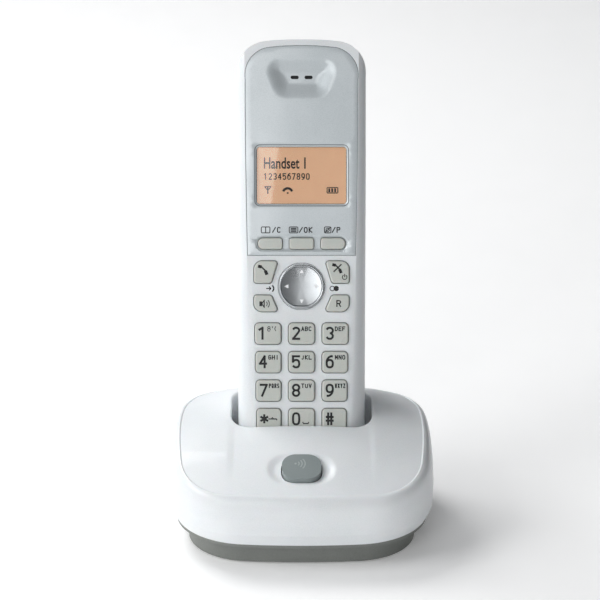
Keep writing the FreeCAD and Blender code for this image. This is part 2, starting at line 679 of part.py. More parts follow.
def base_top_cover():
    """White cover with the leaning pocket, the button dish, socket openings and screw posts."""
    form = base_form()
    hollow = base_form(BASE_WALL)
    tub = pocket(POCKET_WALL, POCKET_FLOOR - POCKET_WALL, 70).common(form)
    posts = []
    for x in (-SCREW_X, SCREW_X):
        for y in (-SCREW_Y, SCREW_Y):
            posts.append(Part.makeCylinder(3.4, 40, V(x, y, COVER_FOOT_Z)).common(base_form(BASE_WALL / 2)))
    cover = fused([form.cut(hollow), tub, *posts])
    cuts = [pocket(0, POCKET_FLOOR, 90)]
    dish = upwards(box_outline(DISH_W, DISH_D, DISH_D / 2 - 0.1, at_height(20), (0, BUTTON_Y)), 30)
    cuts.append(dish.cut(base_form(DISH_DEPTH)))
    cuts.append(upwards(button_outline(12, 0.35), 40))
    for x in (-SCREW_X, SCREW_X):
        for y in (-SCREW_Y, SCREW_Y):
            cuts.append(Part.makeCylinder(1.25, 12.0, V(x, y, COVER_FOOT_Z - 0.5)))
    for x in (-CHARGE_X, CHARGE_X):
        cuts.append(dock(block((x - 1.7, -0.1, -8), (x + 1.7, 6.1, 2))))
    cuts.append(Part.makeCylinder(3.6, 12, V(POWER_X, 34, POWER_Z), V(0, 1, 0)))
    cuts.append(block((LINE_X - 5.3, 34, LINE_Z - 3.7), (LINE_X + 5.3, 46, LINE_Z + 4.8)))
    cover = cover.cut(Part.makeCompound(cuts))
    # the sockets stand under the pocket's lower rear corner
    keep_out = [
        block((POWER_X - 5.4, 23.2, 0), (POWER_X + 5.4, SOCKET_FACE_Y + 0.3, 20.4)),
        block((LINE_X - 7.2, 23.2, 0), (LINE_X + 7.2, SOCKET_FACE_Y + 0.3, 20.6)),
    ]
    return cover.cut(Part.makeCompound(keep_out))


def plinth_form(inset, low):
    """Grey foot of the base, moved in by inset, from low up to the shoulder."""
    levels = [bulged_outline(w - inset, d - inset, r - inset, z) for z, w, d, r in PLINTH_LEVELS]
    return Part.makeLoft(levels, True, False).common(block((-60, -60, low), (60, 60, 60)))


def base_bottom_cover():
    """Grey bottom cover: plinth tray, shoulder under the white cover, board and screw bosses."""
    plinth = plinth_form(0, 0)
    shoulder = upwards(bulged_outline(SHOULDER_HALF_W, SHOULDER_HALF_D, SHOULDER_CORNER, 8.2), 1.25)
    tray = fused([plinth, shoulder])
    tray = tray.cut(plinth_form(2.0, 2.6)).cut(upwards(bulged_outline(41.0, 32.9, 21.5, 8.0), 3))
    bosses = []
    for x in (-SCREW_X, SCREW_X):
        for y in (-SCREW_Y, SCREW_Y):
            bosses.append(Part.makeCylinder(3.4, COVER_FOOT_Z - 2.15, V(x, y, 2.1)))
    for x in (-26, 26):
        for y in (-18, 26):
            bosses.append(Part.makeCylinder(2.2, BOARD_Z - 2.1, V(x, y, 2.1)))
    tray = fused([tray, *bosses])
    cuts = []
    for x in (-SCREW_X, SCREW_X):
        for y in (-SCREW_Y, SCREW_Y):
            cuts.append(Part.makeCylinder(1.5, 20, V(x, y, 0)))
            cuts.append(Part.makeCylinder(3.0, 2.6, V(x, y, 0)))
    for x in (-FOOT_X, FOOT_X):
        for y in (-FOOT_Y, FOOT_Y):
            cuts.append(Part.makeCylinder(FOOT_R + 0.1, 0.6, V(x, y, 0.4)))
    return tray.cut(Part.makeCompound(cuts))


def rubber_feet():
    """Four round feet that the base stands on."""
    return Part.makeCompound(
        [
            Part.makeCylinder(FOOT_R, 0.98, V(x, y, 0))
            for x in (-FOOT_X, FOOT_X)
            for y in (-FOOT_Y, FOOT_Y)
        ]
    )


def base_screws():
    """Four self-tapping screws, driven from below."""
    screws = []
    for x in (-SCREW_X, SCREW_X):
        for y in (-SCREW_Y, SCREW_Y):
            head = Part.makeCylinder(2.8, 1.4, V(x, y, 1.15))
            shank = Part.makeCylinder(1.2, 17.0, V(x, y, 2.5))
            wide = block((x - 1.6, y - 0.3, 1), (x + 1.6, y + 0.3, 1.9))
            deep = block((x - 0.3, y - 1.6, 1), (x + 0.3, y + 1.6, 1.9))
            cross = Part.makeCompound([wide, deep])
            screws.append(fused([head, shank]).cut(cross))
    return Part.makeCompound(screws)


def button_outline(z, grow=0.0):
    """Plan outline of the locator button: round ends, flat front and back."""
    outline = box_outline(BUTTON_W, BUTTON_D, 5.2, at_height(z), (0, BUTTON_Y))
    return outline.makeOffset2D(grow) if grow else outline


def locator_button():
    """Grey button that stands proud of its dish, with a flange and a stem down to the switch."""
    ceiling = base_form(-1.2, 9.5)
    cap = upwards(button_outline(26), 20).common(ceiling)
    under = base_form(BASE_WALL + 0.6, 9.5)
    cap = cap.cut(upwards(button_outline(10, 1.0), 40).common(base_form(3.4, 9.5)))
    flange = upwards(button_outline(10, 0.9), 40).common(under).cut(base_form(3.6, 9.5))
    stem = upwards(box_outline(5.0, 4.0, 0.5, at_height(BOARD_Z + BOARD_THICK + 6.6), (0, BUTTON_Y)), 25)
    stem = stem.common(base_form(2.0, 9.5))
    return fused([cap, flange, stem])


def locator_switch():
    """Tact switch on the base's board under the button."""
    low = BOARD_Z + BOARD_THICK
    body = block((-3, BUTTON_Y - 3, low), (3, BUTTON_Y + 3, low + 4.3))
    return fused([body, Part.makeCylinder(1.7, 1.0, V(0, BUTTON_Y, low + 4.3))])


def base_circuit_board():
    """Base board, on four bosses."""
    corners = [(-29, -28), (29, -28), (29, BOARD_BACK), (-29, BOARD_BACK)]
    return upwards(rounded_outline(corners, [2, 2, 6, 6], at_height(BOARD_Z + 0.02)), BOARD_THICK - 0.02)


def board_components():
    """Capacitors, transformer and chip on the base's board."""
    low = BOARD_Z + BOARD_THICK
    parts = [
        Part.makeCylinder(4.0, 8.5, V(-22, -12, low)),
        Part.makeCylinder(3.2, 7.0, V(-22, -2, low)),
        block((12, -22, low), (24, -12, low + 1.2)),
        block((14, 2, low), (25, 12, low + 7.0)),
    ]
    return Part.makeCompound(parts)


def base_shield_can():
    """Tinned steel can over the base's radio circuit."""
    low = BOARD_Z + BOARD_THICK
    return upwards(box_outline(22, 15, 0.8, at_height(low), (-6, 6)), 2.6)


def base_antennas():
    """Two upright bent aerials at the board's sides."""
    low = BOARD_Z + BOARD_THICK
    stem = block((27.2, -26, low), (27.6, -24.5, low + 9))
    arm = block((27.2, -26, low + 7.6), (27.6, -12, low + 9))
    return mirrored(fused([stem, arm]))


def socket_body(x, half_w, top):
    """Block that stands on the board and reaches over its edge to the back wall."""
    foot = block((x - half_w, 24.0, BOARD_Z + BOARD_THICK), (x + half_w, BOARD_BACK, top))
    return fused([foot, block((x - half_w, 24.0, SOCKET_LEDGE_Z), (x + half_w, SOCKET_FACE_Y, top))])


def power_socket():
    """Barrel socket: stepped bore with a short centre pin."""
    body = socket_body(POWER_X, 4.8, POWER_Z + 5.4)
    mouth = Part.makeCylinder(2.9, 5.0, V(POWER_X, SOCKET_FACE_Y - 5, POWER_Z), V(0, 1, 0))
    throat = Part.makeCylinder(2.2, 5.0, V(POWER_X, SOCKET_FACE_Y - 9, POWER_Z), V(0, 1, 0))
    pin = Part.makeCylinder(0.8, 4.2, V(POWER_X, SOCKET_FACE_Y - 10, POWER_Z), V(0, 1, 0))
    return fused([body.cut(mouth).cut(throat), pin])


def line_socket():
    """Telephone line socket: six-way modular jack, open to the back."""
    body = socket_body(LINE_X, 6.2, LINE_Z + 6.0)
    mouth = block((LINE_X - 4.9, 26.5, LINE_Z - 3.4), (LINE_X + 4.9, 40, LINE_Z + 2.6))
    latch = block((LINE_X - 2.1, 28.5, LINE_Z + 2.4), (LINE_X + 2.1, 40, LINE_Z + 4.4))
    return body.cut(mouth).cut(latch)


def charge_contact(side):
    """Springy metal strip, bent like an arch, that reaches up through the pocket's floor."""
    x = side * CHARGE_X

    def place(a, b):
        return V(x - 1.2, a, b)

    outer = rounded_outline([(0.7, -6.2), (5.5, -6.2), (5.5, 0.2), (0.7, 0.2)], [0.1, 0.1, 1.6, 1.6], place)
    inner = rounded_outline([(1.1, -7.2), (5.1, -7.2), (5.1, -0.2), (1.1, -0.2)], [0.1, 0.1, 1.2, 1.2], place)
    return Part.Face(outer).extrude(V(2.4, 0, 0)).cut(Part.Face(inner).extrude(V(2.4, 0, 0)))


def contact_holder():
    """Plastic block under the pocket's floor that guides both contacts."""
    holder = block((-13, -1.4, -8.6), (13, 7.4, POCKET_FLOOR - POCKET_WALL - 0.05))
    wells = [block((x - 1.7, -0.1, -7.6), (x + 1.7, 6.1, 0)) for x in (-CHARGE_X, CHARGE_X)]
    return holder.cut(Part.makeCompound(wells))


# ---------------------------------------------------------------- assembly


def dock(shape):
    """Leans a shape from the handset's frame back into the base's pocket."""
    leant = shape.copy()
    leant.rotate(V(0, 0, 0), V(1, 0, 0), -LEAN_DEG)
    leant.translate(SEAT)
    return leant


def base_parts():
    """Every piece that stays on the table, by node name."""
    return {
        "base_top_cover": base_top_cover(),
        "base_bottom_cover": base_bottom_cover(),
        "rubber_feet": rubber_feet(),
        "base_screws": base_screws(),
        "locator_button": locator_button(),
        "locator_switch": locator_switch(),
        "base_circuit_board": base_circuit_board(),
        "base_board_components": board_components(),
        "base_shield_can": base_shield_can(),
        "base_antennas": base_antennas(),
        "power_socket": power_socket(),
        "line_socket": line_socket(),
        "charge_contact_left": dock(charge_contact(-1)),
        "charge_contact_right": dock(charge_contact(1)),
        "contact_holder": dock(contact_holder()),
    }


def handset_parts():
    """Every piece of the handset in its own frame, by node name."""
    parts = {
        "handset_front_shell": front_shell(),
        "handset_rear_shell": rear_shell(),
        "battery_cover": battery_cover(),
        "face_panel": face_panel(),
        "display_lens": display_lens(),
        "lcd_module": lcd_module(),
        "lcd_backlight": lcd_backlight(),
        "earpiece_speaker": earpiece_speaker(),
        "earpiece_gasket": earpiece_gasket(),
        "handset_circuit_board": handset_circuit_board(),
        "keypad_mat": keypad_mat(),
        "microphone": microphone(),
        "loudspeaker": loudspeaker(),
        "handset_shield_can": shield_can(),
        "handset_antenna": handset_antenna(),
        "battery_cell_left": battery_cell(-1),
        "battery_cell_right": battery_cell(1),
        "battery_springs": battery_springs(),
        "battery_plates": battery_plates(),
        "handset_charge_plates": handset_charge_plates(),
        "handset_screws": handset_screws(),
        "nav_key": nav_key(),
        "nav_actuator": nav_actuator(),
    }
    for name in DIGIT_KEYS + FUNCTION_KEYS + SOFT_KEYS:
        parts[name] = key(name)
    return parts


def write_parts():
    """Centres the whole object on the origin and writes one STEP file per node."""
    os.makedirs("parts", exist_ok=True)
    parts = base_parts()
    parts.update({name: dock(shape) for name, shape in handset_parts().items()})
    whole = Part.makeCompound(list(parts.values())).optimalBoundingBox(True, False)
    shift = -(whole.YMin + whole.YMax) / 2
    for name, shape in parts.items():
        shape.translate(V(0, shift, 0))
        shape.exportStep(f"parts/{name}.step")
        solids = len(shape.Solids)
        print(f"{name}: {solids} solid(s), {shape.Volume:.1f} mm3, valid {shape.isValid()}")
    print(f"nodes {len(parts)}, origin shift in Y {shift:.3f}")
    print(f"height {whole.ZMax:.2f}, depth {whole.YLength:.2f}, width {whole.XLength:.2f}")


write_parts()
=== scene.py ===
"""Blender scene for a white cordless telephone whose handset leans back in the pocket of its charging base.

Everything is worked out in millimetres in two frames, the base's own and the handset's own, and a Seat turns
those points into metres in the row frame. Each sub-assembly is a class that builds its meshes and dresses them.
"""

from __future__ import annotations

import json
import logging
import math
from dataclasses import dataclass, field
from enum import Enum
from typing import Any, Sequence

import bmesh
import bpy
import numpy as np
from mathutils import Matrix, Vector
from mathutils.geometry import delaunay_2d_cdt

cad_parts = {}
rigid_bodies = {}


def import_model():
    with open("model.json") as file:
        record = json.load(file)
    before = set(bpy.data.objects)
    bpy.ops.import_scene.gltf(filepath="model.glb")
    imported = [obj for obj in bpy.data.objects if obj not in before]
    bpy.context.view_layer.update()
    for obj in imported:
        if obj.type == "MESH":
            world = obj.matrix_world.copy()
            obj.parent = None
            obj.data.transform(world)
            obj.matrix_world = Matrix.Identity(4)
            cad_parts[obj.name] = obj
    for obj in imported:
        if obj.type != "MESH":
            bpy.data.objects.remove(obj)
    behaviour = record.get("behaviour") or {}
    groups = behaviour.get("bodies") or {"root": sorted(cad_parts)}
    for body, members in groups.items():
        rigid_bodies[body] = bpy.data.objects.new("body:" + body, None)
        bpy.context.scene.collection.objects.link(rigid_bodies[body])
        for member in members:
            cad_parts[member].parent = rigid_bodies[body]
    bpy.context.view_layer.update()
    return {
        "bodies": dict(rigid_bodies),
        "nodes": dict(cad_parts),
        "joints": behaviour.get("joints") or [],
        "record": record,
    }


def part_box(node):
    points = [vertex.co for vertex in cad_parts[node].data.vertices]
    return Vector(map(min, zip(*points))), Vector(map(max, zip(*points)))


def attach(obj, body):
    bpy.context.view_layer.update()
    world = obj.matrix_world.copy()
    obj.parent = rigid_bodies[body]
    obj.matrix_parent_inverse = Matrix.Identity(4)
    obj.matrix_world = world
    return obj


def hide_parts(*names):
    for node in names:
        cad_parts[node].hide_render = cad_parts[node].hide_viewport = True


Array = np.ndarray
Strokes = list[tuple[Array, float]]
LOG = logging.getLogger("telephone")
MM = 0.001
# Thickness of a printed mark, in millimetres, and how far its face stands clear of what it is printed on.
PRINT = 0.03
PROUD = 0.02


# ---------------------------------------------------------------- numbers to shapes


def smooth_step(value: Array | float) -> Array:
    """Rises from 0 to 1 with flat ends: 3t^2 - 2t^3 of the value held between 0 and 1."""
    t = np.clip(value, 0.0, 1.0)
    return t * t * (3.0 - 2.0 * t)


def arc_through(start: Sequence[float], middle: Sequence[float], end: Sequence[float], count: int) -> Array:
    """Points on the circle through three points, from start up to but not including end.

    The centre is where the perpendicular bisectors of the two chords meet.

    Args:
        start: first point.
        middle: a point between the ends.
        end: last point.
        count: how many points.

    Returns:
        An array of shape (count, 2).
    """
    a, b, c = (np.asarray(p, float) for p in (start, middle, end))
    lhs = 2.0 * np.array([b - a, c - a])
    centre = np.linalg.solve(lhs, [b @ b - a @ a, c @ c - a @ a])
    first, half, last = (math.atan2(*(p - centre)[::-1]) for p in (a, b, c))
    turn = (last - first) % math.tau
    if (half - first) % math.tau > turn:
        turn -= math.tau
    angle = first + turn * np.arange(count) / count
    return centre + np.hypot(*(a - centre)) * np.stack([np.cos(angle), np.sin(angle)], -1)


def straight(start: Sequence[float], end: Sequence[float], count: int) -> Array:
    """Points evenly along a line, from start up to but not including end."""
    share = np.arange(count)[:, None] / count
    return np.asarray(start, float) * (1 - share) + np.asarray(end, float) * share


def rounded_loop(corners: Sequence[Sequence[float]], radii: Sequence[float], steps: int = 8) -> Array:
    """Closed outline through corners, each replaced by an arc that is tangent to both its sides.

    An arc starts radius / tan(half the corner's angle) before the corner and turns about a centre
    that lies on the corner's bisector.

    Args:
        corners: corner points in order.
        radii: one radius for each corner.
        steps: points on each arc.

    Returns:
        An array of shape (number of corners * steps, 2).
    """
    points = np.asarray(corners, float)
    back = np.roll(points, 1, 0) - points
    ahead = np.roll(points, -1, 0) - points
    back /= np.linalg.norm(back, axis=1, keepdims=True)
    ahead /= np.linalg.norm(ahead, axis=1, keepdims=True)
    radius = np.asarray(radii, float)[:, None]
    half = 0.5 * np.arccos(np.clip((back * ahead).sum(1), -1, 1))[:, None]
    start, end = points + back * radius / np.tan(half), points + ahead * radius / np.tan(half)
    inward = back + ahead
    inward /= np.linalg.norm(inward, axis=1, keepdims=True)
    centre = points + inward * radius / np.sin(half)
    share = np.linspace(0, 1, steps)[None, :, None]
    angle = np.pi - 2 * half[:, None]
    first, last = (start - centre)[:, None], (end - centre)[:, None]
    arc = (first * np.sin((1 - share) * angle) + last * np.sin(share * angle)) / np.sin(angle)
    return (centre[:, None] + arc).reshape(-1, 2)


def box_loop(width: float, height: float, radius: float, centre: Sequence[float] = (0, 0), steps: int = 8) -> Array:
    """Rounded rectangle about a centre.

    Args:
        width: size across.
        height: size along.
        radius: radius of the corners.
        centre: middle of the rectangle.
        steps: points on each corner.

    Returns:
        The outline, anticlockwise, (4 * steps, 2).
    """
    a, b = width / 2, height / 2
    x, y = centre
    corners = [(x - a, y - b), (x + a, y - b), (x + a, y + b), (x - a, y + b)]
    return rounded_loop(corners, [radius] * 4, steps)


def even_loop(loop: Array, spacing: float) -> Array:
    """The same closed outline with points evenly spaced along its length.

    Args:
        loop: closed outline.
        spacing: distance between points.

    Returns:
        The outline again, with at least 8 points.
    """
    closed = np.vstack([loop, loop[:1]])
    run = np.concatenate([[0], np.cumsum(np.linalg.norm(np.diff(closed, axis=0), axis=1))])
    count = max(8, int(round(run[-1] / spacing)))
    at = run[-1] * np.arange(count) / count
    return np.stack([np.interp(at, run, closed[:, k]) for k in range(closed.shape[1])], -1)


def grown(loop: Array, distance: float) -> Array:
    """An anticlockwise outline moved outwards: each point goes along the normal of its two neighbours' chord.

    Args:
        loop: anticlockwise outline.
        distance: how far it moves; less than 0 moves it inwards.

    Returns:
        The moved outline, with the same number of points.
    """
    chord = np.roll(loop, -1, 0) - np.roll(loop, 1, 0)
    normal = np.stack([chord[:, 1], -chord[:, 0]], -1)
    return loop + distance * normal / np.linalg.norm(normal, axis=1, keepdims=True)


def inside(points: Array, loop: Array) -> Array:
    """Which points an outline holds: a ray to +X crosses it an odd number of times.

    Args:
        points: points to test, (n, 2).
        loop: closed outline.

    Returns:
        True for each point that the outline holds.
    """
    a, b = loop, np.roll(loop, -1, 0)
    x, y = points[:, :1], points[:, 1:]
    spans = (a[:, 1] > y) != (b[:, 1] > y)
    rise = np.where(b[:, 1] == a[:, 1], 1e-12, b[:, 1] - a[:, 1])
    crossing = a[:, 0] + (y - a[:, 1]) * (b[:, 0] - a[:, 0]) / rise
    return (spans & (x < crossing)).sum(1) % 2 == 1


def edge_distance(points: Array, loop: Array) -> Array:
    """Distance from each point to the nearest side of an outline, worked out in blocks to save memory.

    Args:
        points: points to measure from, (n, 2).
        loop: closed outline.

    Returns:
        One distance for each point.
    """
    a, span = loop, np.roll(loop, -1, 0) - loop
    length = np.maximum((span**2).sum(1), 1e-12)
    found = []
    for block in np.array_split(points, max(1, len(points) // 2000)):
        offset = block[:, None] - a
        share = np.clip((offset * span).sum(-1) / length, 0, 1)[..., None]
        found.append(np.sqrt(((offset - share * span) ** 2).sum(-1)).min(1))
    return np.concatenate(found)


def depth_inside(points: Array, loop: Array) -> Array:
    """Distance to the outline for points that it holds, and 0 for the rest."""
    return np.where(inside(points, loop), edge_distance(points, loop), 0.0)


def lattice(loop: Array, spacing: float) -> Array:
    """Points of a triangular lattice inside an outline, set back from it by half a step.

    Args:
        loop: closed outline.
        spacing: side of the lattice's triangles.

    Returns:
        The points, (n, 2).
    """
    low, high = loop.min(0), loop.max(0)
    rise = spacing * math.sqrt(0.75)
    rows, columns = (int(n) + 2 for n in (high - low)[::-1] / (rise, spacing))
    y, x = np.mgrid[0:rows, 0:columns].astype(float)
    points = np.stack([low[0] + (x + 0.5 * (y % 2)) * spacing, low[1] + y * rise], -1).reshape(-1, 2)
    points = points[inside(points, loop)]
    return points[edge_distance(points, loop) > 0.5 * spacing]


def pierced_plane(
    outline: Array, holes: Sequence[Array], spacing: float, fine: Sequence[tuple[Array, float]] = ()
) -> tuple[Array, Array]:
    """Fills the area between an outline and its holes with triangles, finer in some places.

    Args:
        outline: outer edge.
        holes: edges of the openings.
        spacing: step of the lattice that fills the plane.
        fine: pairs of an outline and the smaller step inside it.

    Returns:
        The points (n, 2) and the triangles (m, 3).
    """
    inner = lattice(outline, spacing)
    for area, step in fine:
        denser = lattice(area, step)
        inner = np.vstack([inner[~inside(inner, grown(area, 0.3 * spacing))], denser[inside(denser, outline)]])
    for hole in holes:
        near = edge_distance(inner, hole) < 0.35 * spacing
        inner = inner[~near & ~inside(inner, hole)]
    loops = [outline, *holes]
    sizes = [len(loop) for loop in loops]
    starts = np.cumsum([0, *sizes[:-1]])
    rings = [np.arange(size) for size in sizes]
    edges = np.vstack([first + np.stack([i, (i + 1) % len(i)], -1) for first, i in zip(starts, rings)])
    points = np.vstack([*loops, inner])
    found, _, faces, *_ = delaunay_2d_cdt(points.tolist(), edges.tolist(), [], 0, 1e-7)
    found, faces = np.array(found), np.array(faces)
    middle = found[faces].mean(1)
    keep = inside(middle, outline)
    for hole in holes:
        keep &= ~inside(middle, hole)
    return found, faces[keep]


def bulged_loop(half_w: Array, half_d: Array, corner: Array, count: int = 24) -> Array:
    """Plan outlines of the base: four shallow arcs joined by four corner arcs tangent to them.

    A corner arc's centre lies the shallow radius less the corner radius from both shallow centres.

    Args:
        half_w: half widths, one for each outline.
        half_d: half depths.
        corner: corner radii.
        count: points on each of a quarter's three arcs.

    Returns:
        An array of shape (outlines, 12 * count, 2), anticlockwise from the middle of the right side.
    """
    half_w, half_d, corner = (np.atleast_1d(np.asarray(v, float)) for v in (half_w, half_d, corner))
    side = np.stack([half_w - 160.0, 0 * half_w], -1)
    front = np.stack([0 * half_d, half_d - 230.0], -1)
    span = front - side
    gap = np.linalg.norm(span, axis=1)
    near, far = 160.0 - corner, 230.0 - corner
    along = (near**2 - far**2 + gap**2) / (2 * gap)
    across = np.sqrt(near**2 - along**2)
    unit = span / gap[:, None]
    normal = np.stack([-unit[:, 1], unit[:, 0]], -1)
    centre = side + unit * along[:, None] + normal * across[:, None]
    other = side + unit * along[:, None] - normal * across[:, None]
    centre = np.where(centre[:, 1:] > 0, centre, other)
    low = np.arctan2(centre[:, 1], centre[:, 0] - side[:, 0])
    high = np.arctan2(centre[:, 1] - front[:, 1], centre[:, 0])
    share = np.arange(count) / count

    def sweep(middle: Array, radius: Array, start: Array, end: Array) -> Array:
        """Arc of count points from one angle up to another.

        Args:
            middle: centres, one for each outline.
            radius: radii.
            start: first angles.
            end: last angles, which are left out.

        Returns:
            The points, (outlines, count, 2).
        """
        angle = start[:, None] + (end - start)[:, None] * share
        turned = np.stack([np.cos(angle), np.sin(angle)], -1)
        return middle[:, None] + radius[:, None, None] * turned

    right = np.array([1.0, 1.0])
    quarter = [
        sweep(side, np.full_like(corner, 160.0), 0 * low, low),
        sweep(centre, corner, low, high),
        sweep(front, np.full_like(corner, 230.0), high, 0 * high + np.pi / 2),
    ]
    first = np.concatenate(quarter, 1)
    top = np.stack([0 * half_d, half_d], -1)[:, None]
    left = np.concatenate([top, first[:, :0:-1] * (-right * (1, -1))], 1)
    upper = np.concatenate([first, left], 1)
    west = np.stack([-half_w, 0 * half_w], -1)[:, None]
    lower = upper[:, 1:] * (-1, -1)
    return np.concatenate([upper, west, lower], 1)


# ---------------------------------------------------------------- shapes to meshes


@dataclass(frozen=True)
class Seat:
    """Where a sub-assembly's own frame, in millimetres, sits in the row frame, in metres."""

    origin: tuple[float, float, float]
    lean: float = 0.0

    def place(self, points: Array) -> Array:
        """Turns points back by the lean about X, scales them to metres and moves them to the origin.

        Args:
            points: points of the own frame in millimetres, (n, 3).

        Returns:
            The points in the row frame in metres.
        """
        x, y, z = np.asarray(points, float).T * MM
        c, s = math.cos(self.lean), math.sin(self.lean)
        return np.stack([x, y * c + z * s, z * c - y * s], -1) + self.origin

    def flat(self, points: Array, height: Array | float, front: bool) -> Array:
        """Puts 2D points at a third coordinate: depth when front is true, height otherwise.

        Args:
            points: flat points, (n, 2).
            height: the third coordinate, one for all or one each.
            front: true when the points are across and up.

        Returns:
            The points of the own frame, (n, 3).
        """
        third = np.broadcast_to(height, len(points))
        order = (points[:, 0], third, points[:, 1]) if front else (points[:, 0], points[:, 1], third)
        return np.stack(order, -1)


@dataclass
class Draft:
    """Collects surfaces as points and faces, and welds them into one Blender mesh."""

    points: list[Array] = field(default_factory=list)
    faces: list[list[int]] = field(default_factory=list)
    count: int = 0

    def add(self, points: Array, faces: Array) -> Draft:
        """Adds points of shape (n, 3) and faces that index them.

        Args:
            points: points of shape (n, 3).
            faces: indices into those points, one row for each face.

        Returns:
            The draft itself.
        """
        self.faces += (np.asarray(faces) + self.count).tolist()
        self.points.append(np.asarray(points, float))
        self.count += len(points)
        return self

    def grid(self, rows: Array) -> Draft:
        """Adds quads between rows of points that each close on themselves; rows has shape (r, c, 3).

        Args:
            rows: rows of points, (r, c, 3).

        Returns:
            The draft itself.
        """
        r, c = rows.shape[:2]
        index = np.arange(r * c).reshape(r, c)
        index = np.hstack([index, index[:, :1]])
        quads = np.stack([index[:-1, :-1], index[:-1, 1:], index[1:, 1:], index[1:, :-1]], -1)
        return self.add(rows.reshape(-1, 3), quads.reshape(-1, 4))

    def fan(self, loop: Array) -> Draft:
        """Closes a loop of points with triangles to its centre.

        Args:
            loop: the loop's points, (n, 3).

        Returns:
            The draft itself.
        """
        n = len(loop)
        around = np.arange(n)
        triangles = np.stack([around, (around + 1) % n, np.full(n, n)], -1)
        return self.add(np.vstack([loop, loop.mean(0)]), triangles)

    def build(
        self,
        name: str,
        seat: Seat,
        finish: Finish,
        crease: float = 40.0,
        outward: Sequence[float] | None = None,
        wall: float = 0.0,
    ) -> bpy.types.Object:
        """Makes the object: welds, turns the faces outwards, thickens, smooths and dresses it.

        Args:
            name: the piece's name.
            seat: the frame that the points are in.
            finish: the surface finish.
            crease: edges that turn more than this, in degrees, stay sharp.
            outward: direction, in the piece's own frame, that an open sheet faces on the whole.
            wall: thickness that an open sheet gets behind its face, in millimetres.

        Returns:
            The new object, linked to the scene.
        """
        mesh = bpy.data.meshes.new(name)
        mesh.from_pydata(seat.place(np.vstack(self.points)).tolist(), [], self.faces)
        work = bmesh.new()
        work.from_mesh(mesh)
        bmesh.ops.remove_doubles(work, verts=work.verts, dist=2e-6)
        bmesh.ops.recalc_face_normals(work, faces=work.faces)
        if outward is not None:
            facing = seat.place(np.array([outward])) - seat.place(np.zeros((1, 3)))
            total = sum((f.normal * f.calc_area() for f in work.faces), Vector())
            if total.dot(Vector(facing[0])) < 0:
                bmesh.ops.reverse_faces(work, faces=work.faces)
        work.to_mesh(mesh)
        work.free()
        piece = bpy.data.objects.new(name, mesh)
        bpy.context.scene.collection.objects.link(piece)
        if wall:
            shell = piece.modifiers.new("wall", "SOLIDIFY")
            shell.thickness = wall * MM
            shell.offset = -1.0
            bake_modifiers(piece)
        settle(piece, finish, crease)
        LOG.info("%s: %d faces", name, len(piece.data.polygons))
        return piece


def bake_modifiers(piece: bpy.types.Object) -> None:
    """Replaces a piece's mesh by what its modifiers make of it.

    Args:
        piece: the piece, whose modifiers are removed.
    """
    bpy.context.view_layer.update()
    made = bpy.data.meshes.new_from_object(piece.evaluated_get(bpy.context.evaluated_depsgraph_get()))
    piece.modifiers.clear()
    old, piece.data = piece.data, made
    made.name = piece.name
    bpy.data.meshes.remove(old)


def settle(piece: bpy.types.Object, finish: Finish, crease: float) -> None:
    """Smooths a piece's shading except at creases, and gives it its only material.

    Args:
        piece: the piece.
        finish: the surface finish.
        crease: edges that turn more than this, in degrees, stay sharp.
    """
    mesh = piece.data
    mesh.polygons.foreach_set("use_smooth", np.ones(len(mesh.polygons), bool))
    mesh.set_sharp_from_angle(angle=math.radians(crease))
    mesh.materials.clear()
    mesh.materials.append(finish.material())


def carve(piece: bpy.types.Object, cutter: bpy.types.Object) -> None:
    """Cuts one piece out of another and deletes the cutter.

    Args:
        piece: the piece that is cut.
        cutter: the closed shape that cuts it.
    """
    cut = piece.modifiers.new("carve", "BOOLEAN")
    cut.operation, cut.solver, cut.object = "DIFFERENCE", "EXACT", cutter
    bake_modifiers(piece)
    bpy.data.objects.remove(cutter)


def smooth_copy(node: str, finish: Finish, crease: float = 28.0) -> bpy.types.Object:
    """A copy of a CAD node with its loose triangles joined and shaded smooth, in the node's place.

    Args:
        node: the CAD node that it stands for.
        finish: the surface finish.
        crease: edges that turn more than this, in degrees, stay sharp.

    Returns:
        The new piece.
    """
    mesh = bpy.data.objects[node].data.copy()
    work = bmesh.new()
    work.from_mesh(mesh)
    bmesh.ops.remove_doubles(work, verts=work.verts, dist=1e-6)
    work.to_mesh(mesh)
    work.free()
    if "custom_normal" in mesh.attributes:
        mesh.attributes.remove(mesh.attributes["custom_normal"])
    piece = bpy.data.objects.new(f"{node}_skin", mesh)
    bpy.context.scene.collection.objects.link(piece)
    settle(piece, finish, crease)
    return piece


# ---------------------------------------------------------------- finishes


def linear(code: str, alpha: float = 1.0) -> tuple[float, float, float, float]:
    """Turns an sRGB hex colour such as "#c8ccc6" to linear light.

    Args:
        code: sRGB colour as # and six hex digits.
        alpha: opacity.

    Returns:
        Red, green and blue in linear light, and the opacity.
    """
    values = (int(code[i : i + 2], 16) / 255 for i in (1, 3, 5))
    r, g, b = (v / 12.92 if v <= 0.04045 else ((v + 0.055) / 1.055) ** 2.4 for v in values)
    return r, g, b, alpha


def add_node(tree: bpy.types.NodeTree, kind: str, links: dict[Any, Any] | None = None, **settings: Any) -> Any:
    """Adds a shader node.

    Args:
        tree: the node tree.
        kind: the node's type name without its ShaderNode prefix.
        links: input name or number to a socket to link from, or a value to set.
        settings: attributes of the node.

    Returns:
        The node.
    """
    node = tree.nodes.new(f"ShaderNode{kind}")
    for key, value in settings.items():
        setattr(node, key, value)
    for key, value in (links or {}).items():
        if isinstance(value, bpy.types.NodeSocket):
            tree.links.new(value, node.inputs[key])
        else:
            node.inputs[key].default_value = value
    return node


